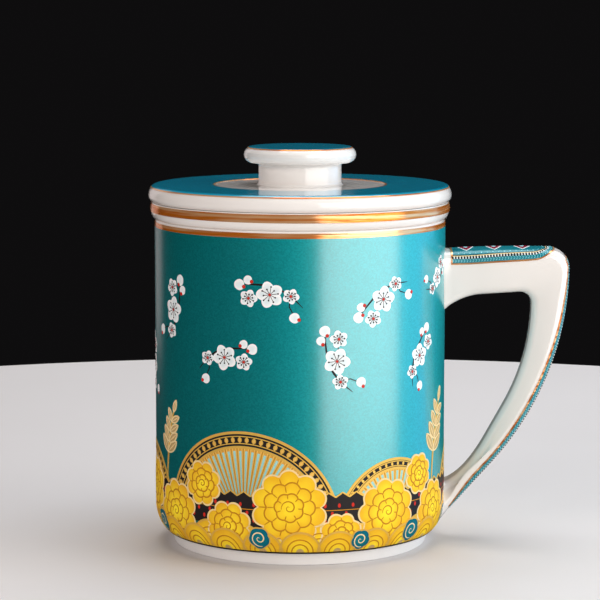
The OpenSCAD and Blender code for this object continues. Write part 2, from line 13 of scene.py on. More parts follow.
import bpy
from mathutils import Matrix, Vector


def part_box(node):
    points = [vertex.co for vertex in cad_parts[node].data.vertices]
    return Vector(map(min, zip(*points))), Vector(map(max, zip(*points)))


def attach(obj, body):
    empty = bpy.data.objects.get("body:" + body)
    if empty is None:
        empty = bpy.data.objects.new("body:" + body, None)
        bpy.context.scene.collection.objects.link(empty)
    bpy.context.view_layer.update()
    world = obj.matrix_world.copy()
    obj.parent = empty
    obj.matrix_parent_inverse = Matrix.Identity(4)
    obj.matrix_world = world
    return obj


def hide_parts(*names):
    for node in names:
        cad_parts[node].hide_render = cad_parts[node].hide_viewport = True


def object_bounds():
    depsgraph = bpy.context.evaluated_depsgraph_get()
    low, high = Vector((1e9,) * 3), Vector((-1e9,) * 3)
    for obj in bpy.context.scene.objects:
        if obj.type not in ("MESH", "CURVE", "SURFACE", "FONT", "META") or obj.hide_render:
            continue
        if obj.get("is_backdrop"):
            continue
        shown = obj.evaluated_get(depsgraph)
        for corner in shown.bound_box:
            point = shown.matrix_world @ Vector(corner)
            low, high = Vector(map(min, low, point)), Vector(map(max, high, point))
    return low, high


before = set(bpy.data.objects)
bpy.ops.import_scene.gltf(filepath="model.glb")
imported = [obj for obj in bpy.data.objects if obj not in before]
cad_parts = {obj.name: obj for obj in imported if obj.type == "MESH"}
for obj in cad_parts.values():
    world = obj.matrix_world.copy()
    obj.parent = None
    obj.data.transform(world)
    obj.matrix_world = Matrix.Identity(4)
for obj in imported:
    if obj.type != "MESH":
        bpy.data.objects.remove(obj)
LOG = logging.getLogger("tea_mug")
MM = 0.001
Colour = tuple[float, float, float]
Stretch = tuple[float, float, float]
Point = tuple[float, float]
EVEN = (1.0, 1.0, 1.0)
SHADE = "shade"


class Body(Enum):
    """The loose pieces of the mug, each a body of the frame."""

    MUG = "mug"
    INFUSER = "infuser"
    LID = "lid"


class Slot(Enum):
    """The material slots of the pieces that are built here."""

    PORCELAIN = "glazed_porcelain"
    BAND = "enamel_band"
    GOLD = "gold_lustre"


# ---------- node graphs ----------


class Wire:
    """An output socket that can be used in arithmetic, each operation adding a Math node."""

    def __init__(self, graph: "Graph", socket: bpy.types.NodeSocket) -> None:
        """Keep the socket and the graph that new nodes go to."""
        self.graph = graph
        self.socket = socket

    def math(self, operation: str, *values: "Wire | float") -> "Wire":
        """Result of one Math node on the values, in their order."""
        return self.graph.wire("ShaderNodeMath", {"operation": operation}, dict(enumerate(values)))

    def __add__(self, other: "Wire | float") -> "Wire":
        """Sum."""
        return self.math("ADD", self, other)

    __radd__ = __add__

    def __sub__(self, other: "Wire | float") -> "Wire":
        """Difference."""
        return self.math("SUBTRACT", self, other)

    def __rsub__(self, other: "Wire | float") -> "Wire":
        """Difference from a number."""
        return self.math("SUBTRACT", other, self)

    def __mul__(self, other: "Wire | float") -> "Wire":
        """Product."""
        return self.math("MULTIPLY", self, other)

    __rmul__ = __mul__

    def __truediv__(self, other: "Wire | float") -> "Wire":
        """Quotient."""
        return self.math("DIVIDE", self, other)

    def __rtruediv__(self, other: "Wire | float") -> "Wire":
        """Quotient of a number."""
        return self.math("DIVIDE", other, self)

    def root(self) -> "Wire":
        """Square root."""
        return self.math("SQRT", self)

    def sine(self) -> "Wire":
        """Sine of an angle in radians."""
        return self.math("SINE", self)

    def cosine(self) -> "Wire":
        """Cosine of an angle in radians."""
        return self.math("COSINE", self)

    def clamped(self, low: float, high: float) -> "Wire":
        """Kept between two numbers."""
        return self.math("MINIMUM", self.math("MAXIMUM", self, low), high)


class Graph:
    """Adds nodes to a shader tree or a geometry tree."""

    MIX_FACTOR, MIX_FIRST, MIX_SECOND, MIX_RESULT = 0, 6, 7, 2

    def __init__(self, tree: bpy.types.NodeTree) -> None:
        """Take over an empty tree."""
        self.tree = tree

    def node(self, kind: str, settings: dict | None = None,
             sockets: dict | None = None) -> bpy.types.Node:
        """Add a node.

        Args:
            kind: The node's type.
            settings: Its properties, which are set first.
            sockets: Its input sockets by name or number, with values or wires.

        Returns:
            The new node.
        """
        node = self.tree.nodes.new(kind)
        for key, value in (settings or {}).items():
            setattr(node, key, value)
        for key, value in (sockets or {}).items():
            if isinstance(value, Wire):
                self.tree.links.new(value.socket, node.inputs[key])
            else:
                node.inputs[key].default_value = value
        return node

    def wire(self, kind: str, settings: dict | None = None, sockets: dict | None = None,
             out: str | int = 0) -> Wire:
        """Add a node as `node` does and take one of its outputs."""
        return Wire(self, self.node(kind, settings, sockets).outputs[out])

    def mix(self, factor: Wire | float, first: Wire | Colour, second: Wire | Colour) -> Wire:
        """Blend two colours.

        Args:
            factor: Share of the second colour.
            first: The first colour.
            second: The second colour.

        Returns:
            The blended colour.
        """
        first, second = (c if isinstance(c, Wire) else (*c, 1.0) for c in (first, second))
        sockets = {self.MIX_FACTOR: factor, self.MIX_FIRST: first, self.MIX_SECOND: second}
        return self.wire("ShaderNodeMix", {"data_type": "RGBA"}, sockets, self.MIX_RESULT)

    def noise(self, place: Wire, scale: float, detail: float, stretch: Stretch = EVEN) -> Wire:
        """Cloudy noise from 0 to 1.

        Args:
            place: Coordinates in metres.
            scale: Features to the metre.
            detail: Octaves of finer noise.
            stretch: How much finer the noise is along each axis.

        Returns:
            The noise's value.
        """
        if stretch != EVEN:
            place = self.wire("ShaderNodeMapping", None, {"Vector": place, "Scale": stretch})
        return self.wire("ShaderNodeTexNoise", None,
                         {"Vector": place, "Scale": scale, "Detail": detail})


# ---------- finishes ----------


@dataclass(frozen=True)
class Finish:
    """A fired surface whose two tones drift into each other over the piece.

    Attributes:
        name: Name of the material.
        tone: Main colour.
        tone_two: Colour that it drifts to.
        rough: Lowest roughness.
        rough_more: How far the roughness rises in patches.
        metal: Metallic share.
        coat: Weight of the clear coat.
        coat_rough: Roughness of the clear coat.
        coat_ior: Refractive index of the clear coat.
        shine: Strength of the reflection under the coat, 0.5 for glass.
        patches: Patches of tone to the metre.
        contrast: How sharply the two tones part.
        grain: Grains of the relief to the metre.
        relief: Height of the relief in metres.
        stretch: How much finer tone and relief are along each axis.
    """

    name: str
    tone: Colour
    tone_two: Colour
    rough: float
    rough_more: float = 0.06
    metal: float = 0.0
    coat: float = 0.0
    coat_rough: float = 0.03
    coat_ior: float = 1.5
    shine: float = 0.5
    patches: float = 30.0
    contrast: float = 1.0
    grain: float = 900.0
    relief: float = 2e-6
    stretch: Stretch = EVEN

    FINE, COARSE = 3.0, 2.0
    ROUGH_FINER = 4

    def colour(self, graph: Graph, place: Wire) -> Wire:
        """Base colour over the surface, from coordinates in metres."""
        drift = graph.noise(place, self.patches, self.FINE, self.stretch) - 0.5
        return graph.mix((drift * self.contrast + 0.5).clamped(0.0, 1.0), self.tone, self.tone_two)

    def roughness(self, graph: Graph, place: Wire) -> Wire:
        """Roughness over the surface, from coordinates in metres."""
        patches = graph.noise(place, self.patches * self.ROUGH_FINER, self.COARSE, self.stretch)
        return patches * self.rough_more + self.rough

    def material(self) -> bpy.types.Material:
        """Build the material, or find it if it is built.

        Returns:
            The material.
        """
        found = bpy.data.materials.get(self.name)
        if found:
            return found
        material = bpy.data.materials.new(self.name)
        material.use_nodes = True
        material.node_tree.nodes.clear()
        graph = Graph(material.node_tree)
        place = graph.wire("ShaderNodeTexCoord", out="Object")
        height = graph.noise(place, self.grain, self.FINE, self.stretch) * self.relief
        normal = graph.wire("ShaderNodeBump", None,
                            {"Strength": 1.0, "Distance": 1.0, "Height": height})
        surface = graph.wire("ShaderNodeBsdfPrincipled", None, {
            "Base Color": self.colour(graph, place), "Roughness": self.roughness(graph, place),
            "Metallic": self.metal, "Coat Weight": self.coat, "Coat Roughness": self.coat_rough,
            "Coat IOR": self.coat_ior, "Specular IOR Level": self.shine, "Normal": normal})
        graph.node("ShaderNodeOutputMaterial", None, {"Surface": surface})
        return material


@dataclass(frozen=True)
class PearlGround(Finish):
    """Teal ground with fine mica in it, which lights up broadly and sparkles a little.

    Attributes:
        mica: Colour of the mica flakes.
        flakes: Flakes to the metre.
        share: How much the flakes tint the ground.
    """

    mica: Colour = (0.02, 0.80, 0.86)
    flakes: float = 2800.0
    share: float = 0.32

    def colour(self, graph: Graph, place: Wire) -> Wire:
        """Base colour of the ground with the mica's speckle over it.

        Args:
            graph: The material's graph.
            place: Coordinates in metres.

        Returns:
            The base colour.
        """
        ground = super().colour(graph, place)
        speck = graph.wire("ShaderNodeTexVoronoi", {"feature": "F1"},
                           {"Vector": place, "Scale": self.flakes}, out="Color")
        bright = graph.wire("ShaderNodeSeparateColor", None, {"Color": speck})
        return graph.mix(bright * self.share, ground, self.mica)


@dataclass(frozen=True)
class Print(Finish):
    """Opaque enamel print that is shaded from its edge to its middle by the piece's own shade.

    Attributes:
        wear: How much the tone drifts within a shape.
    """

    wear: float = 0.25
    shine: float = 0.15

    def colour(self, graph: Graph, place: Wire) -> Wire:
        """Base colour by the shade attribute, with a drift over it.

        Args:
            graph: The material's graph.
            place: Coordinates in metres.

        Returns:
            The base colour.
        """
        shade = graph.wire("ShaderNodeAttribute", {"attribute_name": SHADE}, out="Fac")
        drift = (graph.noise(place, self.patches, self.FINE) - 0.5) * self.wear
        return graph.mix((shade + drift).clamped(0.0, 1.0), self.tone, self.tone_two)


PORCELAIN = Finish("porcelain_glaze", (0.79, 0.745, 0.705), (0.82, 0.79, 0.76), 0.10, coat=0.6,
                   patches=22.0)
BARE_CLAY = Finish("bare_clay", (0.76, 0.74, 0.72), (0.84, 0.82, 0.80), 0.5, 0.15, patches=60.0,
                   grain=2600.0, relief=1.5e-5)
PEARL = PearlGround("pearl_teal", (0.0, 0.42, 0.45), (0.0, 0.48, 0.50), 0.65, 0.04, metal=0.80,
                    coat=1.0, coat_rough=0.23, coat_ior=1.95, patches=18.0, grain=3000.0,
                    relief=1.2e-6)
LID_TEAL = Finish("lid_teal", (0.0, 0.23, 0.36), (0.0, 0.28, 0.42), 0.20, coat=0.7,
                  coat_rough=0.07, patches=26.0, grain=1500.0, relief=6e-6)
# The gold's two tones part sharply into streaks that run round each piece. They are partly the
# lustre's real brushed unevenness and partly a painted reflection of dark and bright surroundings.
GOLD = Finish("fired_gold", (0.80, 0.21, 0.018), (1.0, 0.56, 0.27), 0.06, 0.14, metal=0.62,
              patches=110.0, contrast=5.0, grain=160.0, relief=2.2e-4, stretch=(0.35, 0.35, 8.0))
DARK_LINE = Finish("fired_dark_line", (0.018, 0.013, 0.010), (0.05, 0.03, 0.016), 0.25, coat=0.3,
                   patches=150.0)
BAND_TEAL = Finish("band_teal", (0.0, 0.17, 0.215), (0.0, 0.22, 0.27), 0.30, metal=0.1, coat=0.2,
                   coat_rough=0.2, patches=90.0)
TABLE = Finish("table_top", (0.66, 0.63, 0.62), (0.70, 0.67, 0.66), 0.55, 0.1, patches=8.0,
               grain=400.0, relief=1e-5)
CAD_FINISHES = {
    **dict.fromkeys(("mug_body", "infuser_collar", "infuser_wall", "strainer_floor", "lid_plate",
                     "lid_locating_ring", "knob_stem", "knob_cap"), PORCELAIN),
    **dict.fromkeys(("mug_gold_band", "collar_gold_band", "lid_edge_gold_line",
                     "lid_inner_gold_line", "knob_gold_line"), GOLD),
    **dict.fromkeys(("lid_colour_ground", "knob_colour_disc"), LID_TEAL),
    "foot_ring": BARE_CLAY, "mug_colour_ground": PEARL, "heel_line": DARK_LINE}


class Ink(Enum):
    """Enamel inks and the golds among them, each shaded from its first tone to its second."""

    YELLOW = Print("ink_yellow", (0.76, 0.36, 0.012), (1.0, 0.80, 0.030), 0.42, patches=120.0,
                   wear=0.9)
    AMBER = Print("ink_amber", (0.42, 0.17, 0.006), (0.56, 0.24, 0.012), 0.42, patches=160.0)
    GOLD = Print("ink_gold", (0.58, 0.32, 0.04), (0.92, 0.58, 0.13), 0.38, metal=0.3,
                 patches=160.0)
    OCHRE = Print("ink_ochre", (0.46, 0.22, 0.03), (0.70, 0.38, 0.07), 0.45, patches=130.0)
    BEIGE = Print("ink_beige", (0.38, 0.23, 0.09), (0.66, 0.45, 0.19), 0.45, metal=0.25,
                  patches=130.0, wear=0.5)
    CREAM = Print("ink_cream", (0.74, 0.54, 0.24), (0.90, 0.72, 0.40), 0.42, patches=120.0)
    AQUA = Print("ink_aqua", (0.16, 0.42, 0.40), (0.32, 0.60, 0.56), 0.42, patches=120.0)
    BLACK = Print("ink_black", (0.008, 0.006, 0.006), (0.020, 0.016, 0.016), 0.42, patches=150.0)
    RED = Print("ink_red", (0.42, 0.012, 0.008), (0.62, 0.03, 0.015), 0.40, patches=150.0)
    TEAL = Print("ink_teal", (0.0, 0.10, 0.15), (0.0, 0.17, 0.23), 0.40, patches=120.0)
    SKY = Print("ink_sky", (0.26, 0.66, 0.74), (0.45, 0.80, 0.85), 0.42, patches=200.0)
    PLUM = Print("ink_plum", (0.13, 0.006, 0.03), (0.26, 0.012, 0.03), 0.40, patches=200.0)
    WHITE = Print("ink_white", (0.42, 0.60, 0.64), (0.88, 0.89, 0.88), 0.42, patches=200.0,
                  wear=0.15)

    @property
    def slot(self) -> Slot:
        """The slot that the ink belongs to."""
        return Slot.GOLD if self is Ink.GOLD else Slot.BAND


# ---------- meshes ----------


class Form:
    """Collects vertices and faces of one finish and makes a single piece of them."""

    def __init__(self) -> None:
        """Start empty."""
        self.points: list[Vector] = []
        self.faces: list[tuple[int, ...]] = []
        self.shades: list[float] = []

    def add(self, points: Sequence[Vector], faces: Sequence[tuple[int, ...]],
            shades: Sequence[float]) -> None:
        """Add a shape.

        Args:
            points: Its vertices.
            faces: Its faces, by the shape's own vertex numbers.
            shades: The shade of each vertex.
        """
        first = len(self.points)
        self.points.extend(points)
        self.faces.extend(tuple(first + i for i in face) for face in faces)
        self.shades.extend(shades)

    def thicken(self, top: Sequence[Vector], under: Sequence[Vector],
                faces: Sequence[tuple[int, ...]], shades: Sequence[float]) -> None:
        """Add a thin closed shape between a surface and the surface under it.

        Args:
            top: Vertices of the surface.
            under: The same vertices on the lower surface.
            faces: Faces of the upper surface, seen from outside.
            shades: The shade of each vertex.
        """
        count = len(top)
        edges = {(face[i], face[(i + 1) % len(face)]) for face in faces for i in range(len(face))}
        sides = [(b, a, a + count, b + count) for a, b in edges if (b, a) not in edges]
        below = [tuple(i + count for i in reversed(face)) for face in faces]
        self.add([*top, *under], [*faces, *below, *sorted(sides)], list(shades) * 2)

    def mesh(self, name: str, scale: float = 1.0) -> bpy.types.Mesh:
        """Make the mesh.

        Args:
            name: Name of the mesh.
            scale: Factor on every coordinate.

        Returns:
            The mesh, with its shade attribute.
        """
        mesh = bpy.data.meshes.new(name)
        mesh.from_pydata([p * scale for p in self.points], [], self.faces)
        mesh.attributes.new(SHADE, "FLOAT", "POINT").data.foreach_set("value", self.shades)
        mesh.update()
        return mesh


def grid_faces(rows: int, columns: int, closed: bool = False) -> list[tuple[int, ...]]:
    """Quads between rows of points.

    Args:
        rows: Number of rows.
        columns: Points in a row.
        closed: Whether each row runs back to its first point.

    Returns:
        The faces, by row-major point numbers.
    """
    last = columns if closed else columns - 1
    return [(i * columns + j, i * columns + (j + 1) % columns,
             (i + 1) * columns + (j + 1) % columns, (i + 1) * columns + j)
            for i in range(rows - 1) for j in range(last)]


def finish_piece(mesh: bpy.types.Mesh, name: str, finish: Finish, slot: Slot, sharp: float = 40.0,
                 nodes: Sequence[str] = ()) -> None:
    """Turn a mesh into a shown piece of the mug's body.

    Args:
        mesh: The mesh, in place.
        name: Name of the piece.
        finish: Its finish.
        slot: The slot that the finish belongs to; not used.
        sharp: Edges sharper than this, in degrees, stay sharp.
        nodes: Solids that the piece stands for.
    """
    mesh.shade_smooth()
    mesh.set_sharp_from_angle(angle=math.radians(sharp))
    mesh.materials.clear()
    mesh.materials.append(finish.material())
    piece = bpy.data.objects.new(name, mesh)
    bpy.context.scene.collection.objects.link(piece)
    if nodes:
        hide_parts(*nodes)
    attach(piece, Body.MUG.value)
    LOG.info("%s: %d faces, %s", name, len(mesh.polygons), finish.name)


class PrintTree:
    """Geometry tree that makes printed pieces, with named inputs for their sizes.

    Attributes:
        NAME: Name of the tree.
        INPUTS: Socket types of its sizes by name.
        SHARP: Edges of its pieces sharper than this, in degrees, stay sharp.
    """

    NAME = "print"
    INPUTS: dict[str, str] = {}
    SHARP = 30.0

    def __init__(self) -> None:
        """Build the tree, from its inputs to a joined and painted mesh."""
        self.tree = bpy.data.node_groups.new(self.NAME, "GeometryNodeTree")
        for way in ("INPUT", "OUTPUT"):
            self.tree.interface.new_socket("Geometry", in_out=way, socket_type="NodeSocketGeometry")
        inputs = {**self.INPUTS, "Finish": "NodeSocketMaterial"}
        for name, kind in inputs.items():
            self.tree.interface.new_socket(name, in_out="INPUT", socket_type=kind)
        graph = Graph(self.tree)
        entry = graph.node("NodeGroupInput")
        given = {name: Wire(graph, entry.outputs[name]) for name in ("Geometry", *inputs)}
        joined = graph.wire("GeometryNodeRealizeInstances", None,
                            {"Geometry": self.shape(graph, given)})
        painted = graph.wire("GeometryNodeSetMaterial", None,
                             {"Geometry": joined, "Material": given["Finish"]})
        graph.node("NodeGroupOutput", None, {"Geometry": painted})

    def shape(self, graph: Graph, given: dict[str, Wire]) -> Wire:
        """Geometry of the pieces from the tree's inputs by name; each kind of tree has its own."""
        raise NotImplementedError

    def make(self, start: bpy.types.Mesh, name: str, ink: Ink, values: dict[str, float]) -> None:
        """Run the tree and show what it makes as one piece.

        Args:
            start: The mesh that it starts from.
            name: Name of the piece.
            ink: Its ink.
            values: The tree's inputs by name.
        """
        flat = bpy.data.objects.new(start.name, start)
        bpy.context.scene.collection.objects.link(flat)
        modifier = flat.modifiers.new(self.NAME, "NODES")
        modifier.node_group = self.tree
        values = {**values, "Finish": ink.value.material()}
        for socket in self.tree.interface.items_tree:
            if socket.name in values:
                modifier[socket.identifier] = values[socket.name]
        shown = flat.evaluated_get(bpy.context.evaluated_depsgraph_get())
        mesh = bpy.data.meshes.new_from_object(shown)
        mesh.name = name
        flat.modifiers.remove(modifier)
        bpy.data.objects.remove(flat)
        finish_piece(mesh, name, ink.value, ink.slot, self.SHARP)


# ---------- studio ----------


@dataclass(frozen=True)
class Softbox:
    """A rectangular soft light that faces the mug.

    Attributes:
        name: Name of the light.
        around: Degrees to the right of the camera, seen from the mug.
        up: Degrees above the middle of the mug.
        away: Distance from the mug in metres.
        wide: Width in metres.
        high: Height in metres.
        power: Power in watts.
        colour: Colour of the light.
        mirrored: Whether it shows in glossy surfaces.
    """

    name: str
    around: float
    up: float
    away: float
    wide: float
    high: float
    power: float
    colour: Colour = (1.0, 1.0, 1.0)
    mirrored: bool = True

    def build(self, centre: Vector) -> None:
        """Hang the light.

        Args:
            centre: The point that it faces.
        """
        lamp = bpy.data.lights.new(self.name, "AREA")
        lamp.shape = "RECTANGLE"
        lamp.size, lamp.size_y = self.wide, self.high
        lamp.energy, lamp.color = self.power, self.colour
        light = bpy.data.objects.new(self.name, lamp)
        turn, rise = math.radians(self.around), math.radians(self.up)
        out = Vector((math.sin(turn) * math.cos(rise), -math.cos(turn) * math.cos(rise),
                      math.sin(rise)))
        light.location = centre + out * self.away
        light.rotation_euler = out.to_track_quat("Z", "Y").to_euler()
        light.visible_camera = False
        light.visible_glossy = self.mirrored
        bpy.context.scene.collection.objects.link(light)


@dataclass
class Studio:
    """Camera, lights and the pale round table.

    Attributes:
        camera_back: Distance of the camera in front of the mug's axis in metres.
        camera_up: Height of the camera in metres.
        camera_tilt: Degrees that it looks down.
        camera_lens: Focal length in millimetres on a 36 mm sensor.
        table_r: Radius of the table in metres.
        table_t: Thickness of the table in metres.
        table_edge: Size of the table's bevel in metres.
        table_sides: Number of flat sides round the table.
        dusk: Colour of the dim surroundings.
        lights: The soft lights.
    """

    camera_back: float = 0.71055
    camera_up: float = 0.15927
    camera_tilt: float = 7.15
    camera_lens: float = 147.9
    table_r: float = 0.36
    table_t: float = 0.02
    table_edge: float = 0.004
    table_sides: int = 160
    dusk: Colour = (0.0045, 0.0042, 0.0045)
    lights: tuple[Softbox, ...] = (
        Softbox("key_softbox", 48.5, 8.0, 0.75, 1.00, 0.62, 6.3, (1.0, 0.985, 0.96)),
        Softbox("cool_side_softbox", 105.0, 6.0, 0.70, 0.58, 0.60, 1.7, (0.22, 0.58, 1.0)),
        Softbox("front_fill", -42.0, 20.0, 1.10, 0.90, 0.70, 7.0, (1.0, 0.92, 0.89), False),
        Softbox("overhead", 150.0, 78.0, 0.80, 0.70, 0.50, 5.0, (0.97, 0.98, 1.0)),
        Softbox("top_side_fill", 75.0, 38.0, 0.90, 0.50, 0.40, 2.0, mirrored=False),
        Softbox("rear_fill", 170.0, 25.0, 1.10, 0.80, 0.60, 3.0, (1.0, 0.98, 0.97), False),
        Softbox("edge_strip", 211.0, 12.0, 1.10, 0.42, 0.80, 0.5, (1.0, 0.84, 0.84)))

    def build_camera(self) -> None:
        """Set the camera up in front, looking a little down."""
        camera = bpy.data.objects.new("camera", bpy.data.cameras.new("camera"))
        camera.data.sensor_width = 36.0
        camera.data.lens = self.camera_lens
        camera.data.clip_start, camera.data.clip_end = 0.01, 20.0
        camera.location = (0.0, -self.camera_back, self.camera_up)
        camera.rotation_euler = (math.radians(90.0 - self.camera_tilt), 0.0, 0.0)
        bpy.context.scene.collection.objects.link(camera)
        bpy.context.scene.camera = camera

    def build_table(self) -> None:
        """Lay the round table top under the mug."""
        around = self.table_sides
        profile = [(self.table_r - self.table_edge, 0.0), (self.table_r, -self.table_edge),
                   (self.table_r, -self.table_t)]
        rings = [Vector((r * math.cos(t), r * math.sin(t), z)) for r, z in profile
                 for t in (2 * math.pi * k / around for k in range(around))]
        faces = [tuple(range(around)), *[tuple(reversed(f)) for f in grid_faces(3, around, True)],
                 tuple(2 * around + k for k in reversed(range(around)))]
        mesh = bpy.data.meshes.new("table_top")
        mesh.from_pydata(rings, [], faces)
        mesh.materials.append(TABLE.material())
        table = bpy.data.objects.new("table_top", mesh)
        table.visible_glossy = False
        bpy.context.scene.collection.objects.link(table)
        table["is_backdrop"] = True

    def build(self) -> None:
        """Set up everything round the mug."""
        scene = bpy.context.scene
        scene.view_settings.view_transform = "Standard"
        world = bpy.data.worlds.new("dusk")
        world.use_nodes = True
        world.node_tree.nodes["Background"].inputs["Color"].default_value = (*self.dusk, 1.0)
        scene.world = world
        self.build_camera()
        self.build_table()
        middle = Vector((0.0, 0.0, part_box("knob_cap")[1].z / 2))
        for light in self.lights:
            light.build(middle)
        LOG.info("studio: camera, table and %d softboxes", len(self.lights))


# ---------- handle ----------


def arc_move(heading: float, length: float, turn: float) -> Vector:
    """Displacement along an arc that turns clockwise.

    Args:
        heading: Direction at the start in degrees.
        length: Length of the arc.
        turn: Degrees that it turns.

    Returns:
        The displacement in the handle's plane.
    """
    start, end = math.radians(heading), math.radians(heading - turn)
    if not turn:
        return Vector((math.cos(start), math.sin(start))) * length
    bend = Vector((math.sin(start) - math.sin(end), math.cos(end) - math.cos(start)))
    return bend * (length / math.radians(turn))


@dataclass
class Rail:
    """A smooth path of arcs in the handle's plane.

    Attributes:
        start: First point.
        heading: Direction at the start in degrees.
        arcs: Length and turn of each arc.
    """

    start: Vector
    heading: float
    arcs: list[Point]

    def length(self) -> float:
        """Whole length of the path."""
        return sum(length for length, _ in self.arcs)

    def at(self, run: float) -> Vector:
        """Point at a distance along the path; past the end, the last arc runs on.

        Args:
            run: The distance.

        Returns:
            The point.
        """
        place, heading = self.start, self.heading
        for length, turn in self.arcs[:-1]:
            if run <= length:
                return place + arc_move(heading, run, turn * run / length)
            place = place + arc_move(heading, length, turn)
            heading, run = heading - turn, run - length
        length, turn = self.arcs[-1]
        return place + arc_move(heading, run, turn * run / length)


@dataclass
class HandleForm:
    """The handle's outer and inner rails and the rounded section between them.

    Lengths are in millimetres and angles in degrees. A station runs from 0 at the arm's root
    through the corner to the leg's root, and holds the section across the handle there.

    Attributes:
        reach: Distance of the corner from the mug's axis.
        arm_z: Height of the arm's crest at the wall.
        arm_rise: Angle at which the crest leaves the wall.
        crest_turn: How far the crest turns down on its way out.
        arm_depth: Depth of the arm at its end.
        under_slope: Rise of the arm's underside.
        corner_out_r: Radius of the outer corner.
        corner_in_r: Radius of the inner corner.
        leg_depth: Depth of the leg below the corner.
        bow_out: Radius of the leg's outer bow.
        bow_in: Radius of the leg's inner bow.
        leg_out_z: Height at which the outer face meets the wall.
        leg_in_z: Height at which the inner face would meet the wall without its fillet.
        width: Width of the outer face.
        width_in: Width of the inner face.
        edge_out_r: Rounding of the outer edges.
        edge_in_r: Rounding of the inner edges.
        crown: How far the outer face bulges.
        arm_fillet: Drop of the arm's underside at the wall.
        arm_fillet_reach: How far out that starts.
        leg_fillet: Rise of the leg's inner face at the wall.
        leg_fillet_reach: How far out that starts.
        root_spread: How much wider the handle is at the wall.
        root_sink: How deep the rails start in the wall.
        flare: How far the glaze gathers at the wall.
        flare_reach: How far out the glaze gathers.
    """

    reach: float = 77.6
    arm_z: float = 84.6
    arm_rise: float = 3.8
    crest_turn: float = 5.3
    arm_depth: float = 12.4
    under_slope: float = 3.6
    corner_out_r: float = 5.3
    corner_in_r: float = 3.4
    leg_depth: float = 10.4
    bow_out: float = 84.6
    bow_in: float = 61.0
    leg_out_z: float = 6.4
    leg_in_z: float = 5.5
    width: float = 13.0
    width_in: float = 9.6
    edge_out_r: float = 2.6
    edge_in_r: float = 2.8
    crown: float = 0.4
    arm_fillet: float = 3.5
    arm_fillet_reach: float = 10.5
    leg_fillet: float = 8.8
    leg_fillet_reach: float = 12.2
    root_spread: float = 1.6
    root_sink: float = 1.5
    flare: float = 0.35
    flare_reach: float = 1.6

    ARM_END, CREST_END, CORNER_END, LEG_START, LEG_END = 12.0, 16.0, 22.0, 26.0, 50.0
    CROWN_STEPS, EDGE_STEPS = 6, 8

    def __post_init__(self) -> None:
        """Work the two rails out from the sizes."""
        self.mug_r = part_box("mug_body")[1].y / MM
        root_x = self.mug_r - self.root_sink
        root = Vector((root_x, self.arm_z))
        crest = self.reach - self.corner_out_r - root_x
        crest_end = root + arc_move(self.arm_rise, crest, self.crest_turn)
        out_turn = 90.0 + self.arm_rise - self.crest_turn
        out_corner = math.radians(out_turn) * self.corner_out_r
        out_end = crest_end + arc_move(self.arm_rise - self.crest_turn, out_corner, out_turn)
        out_leg = self.leg(out_end, self.bow_out, self.leg_out_z, root_x)
        self.outer = Rail(root, self.arm_rise,
                          [(crest, self.crest_turn), (out_corner, out_turn), *out_leg])
        in_turn = 90.0 + self.under_slope
        in_corner = math.radians(in_turn) * self.corner_in_r
        bend = arc_move(self.under_slope, in_corner, in_turn)
        under_end = Vector((out_end.x - self.leg_depth - bend.x, crest_end.y - self.arm_depth))
        under = (under_end.x - root_x) / math.cos(math.radians(self.under_slope))
        under_start = under_end - arc_move(self.under_slope, under, 0.0)
        in_leg = self.leg(under_end + bend, self.bow_in, self.leg_in_z, root_x)
        self.inner = Rail(under_start, self.under_slope,
                          [(under, 0.0), (in_corner, in_turn), *in_leg])
        self.crest, self.corner = crest, out_corner
        self.leg_slope = out_leg[0][1]
        fan_start = crest - (crest_end.x - under_end.x)
        fan_end = crest + out_corner + out_end.y - (under_end + bend).y
        fan = self.LEG_START - self.ARM_END
        self.marks = [
            (0.0, 0.0, 0.0), (self.ARM_END, fan_start, under),
            (self.CREST_END, crest, under + in_corner * (self.CREST_END - self.ARM_END) / fan),
            (self.CORNER_END, crest + out_corner,
             under + in_corner * (self.CORNER_END - self.ARM_END) / fan),
            (self.LEG_START, fan_end, under + in_corner),
            (self.LEG_END, self.outer.length(), self.inner.length())]

    @staticmethod
    def leg(start: Vector, bow: float, root_z: float, root_x: float) -> list[Point]:
        """Arcs of a leg that starts straight down, bows in and runs on to the wall.

        Args:
            start: Its first point.
            bow: Radius of the bow.
            root_z: Height at which it meets the wall.
            root_x: Distance of the rails' ends from the mug's axis.

        Returns:
            Length and turn of the bow and of the straight run.
        """
        to_root = Vector((root_x - start.x + bow, start.y - root_z))
        turn = math.atan2(to_root.y, to_root.x) - math.acos(bow / to_root.length)
        straight = math.sqrt(to_root.length_squared - bow * bow)
        return [(bow * turn, math.degrees(turn)), (straight, 0.0)]

    def mark_at(self, value: float, column: int) -> list[float]:
        """Mark between two of the listed ones, or a little past the last.

        Args:
            value: The number that it has in one column.
            column: 0 for the station, 1 for the distance along the outer rail.

        Returns:
            Its station and its distances along the outer and the inner rail.
        """
        last = len(self.marks) - 1
        index = next((k for k in range(1, last) if value <= self.marks[k][column]), last)
        low, high = self.marks[index - 1], self.marks[index]
        part = (value - low[column]) / (high[column] - low[column])
        return [a + part * (b - a) for a, b in zip(low, high)]

    def rails_at(self, station: float) -> tuple[Vector, Vector]:
        """Points of both rails at a station.

        Args:
            station: The station number, which may pass the last mark a little.

        Returns:
            The outer and the inner point.
        """
        _, outer_run, inner_run = self.mark_at(station, 0)
        outer, inner = self.outer.at(outer_run), self.inner.at(inner_run)
        if station <= self.ARM_END:
            inner.y -= self.arm_fillet * self.near_wall(inner.x, self.arm_fillet_reach)
        else:
            inner.y += self.leg_fillet * self.near_wall(inner.x, self.leg_fillet_reach)
        return outer, inner

    def near_wall(self, x: float, reach: float) -> float:
        """Rise from 0 at a fillet's reach to 1 at the wall, and on inside it."""
        return (max(0.0, self.mug_r + reach - x) / reach) ** 2

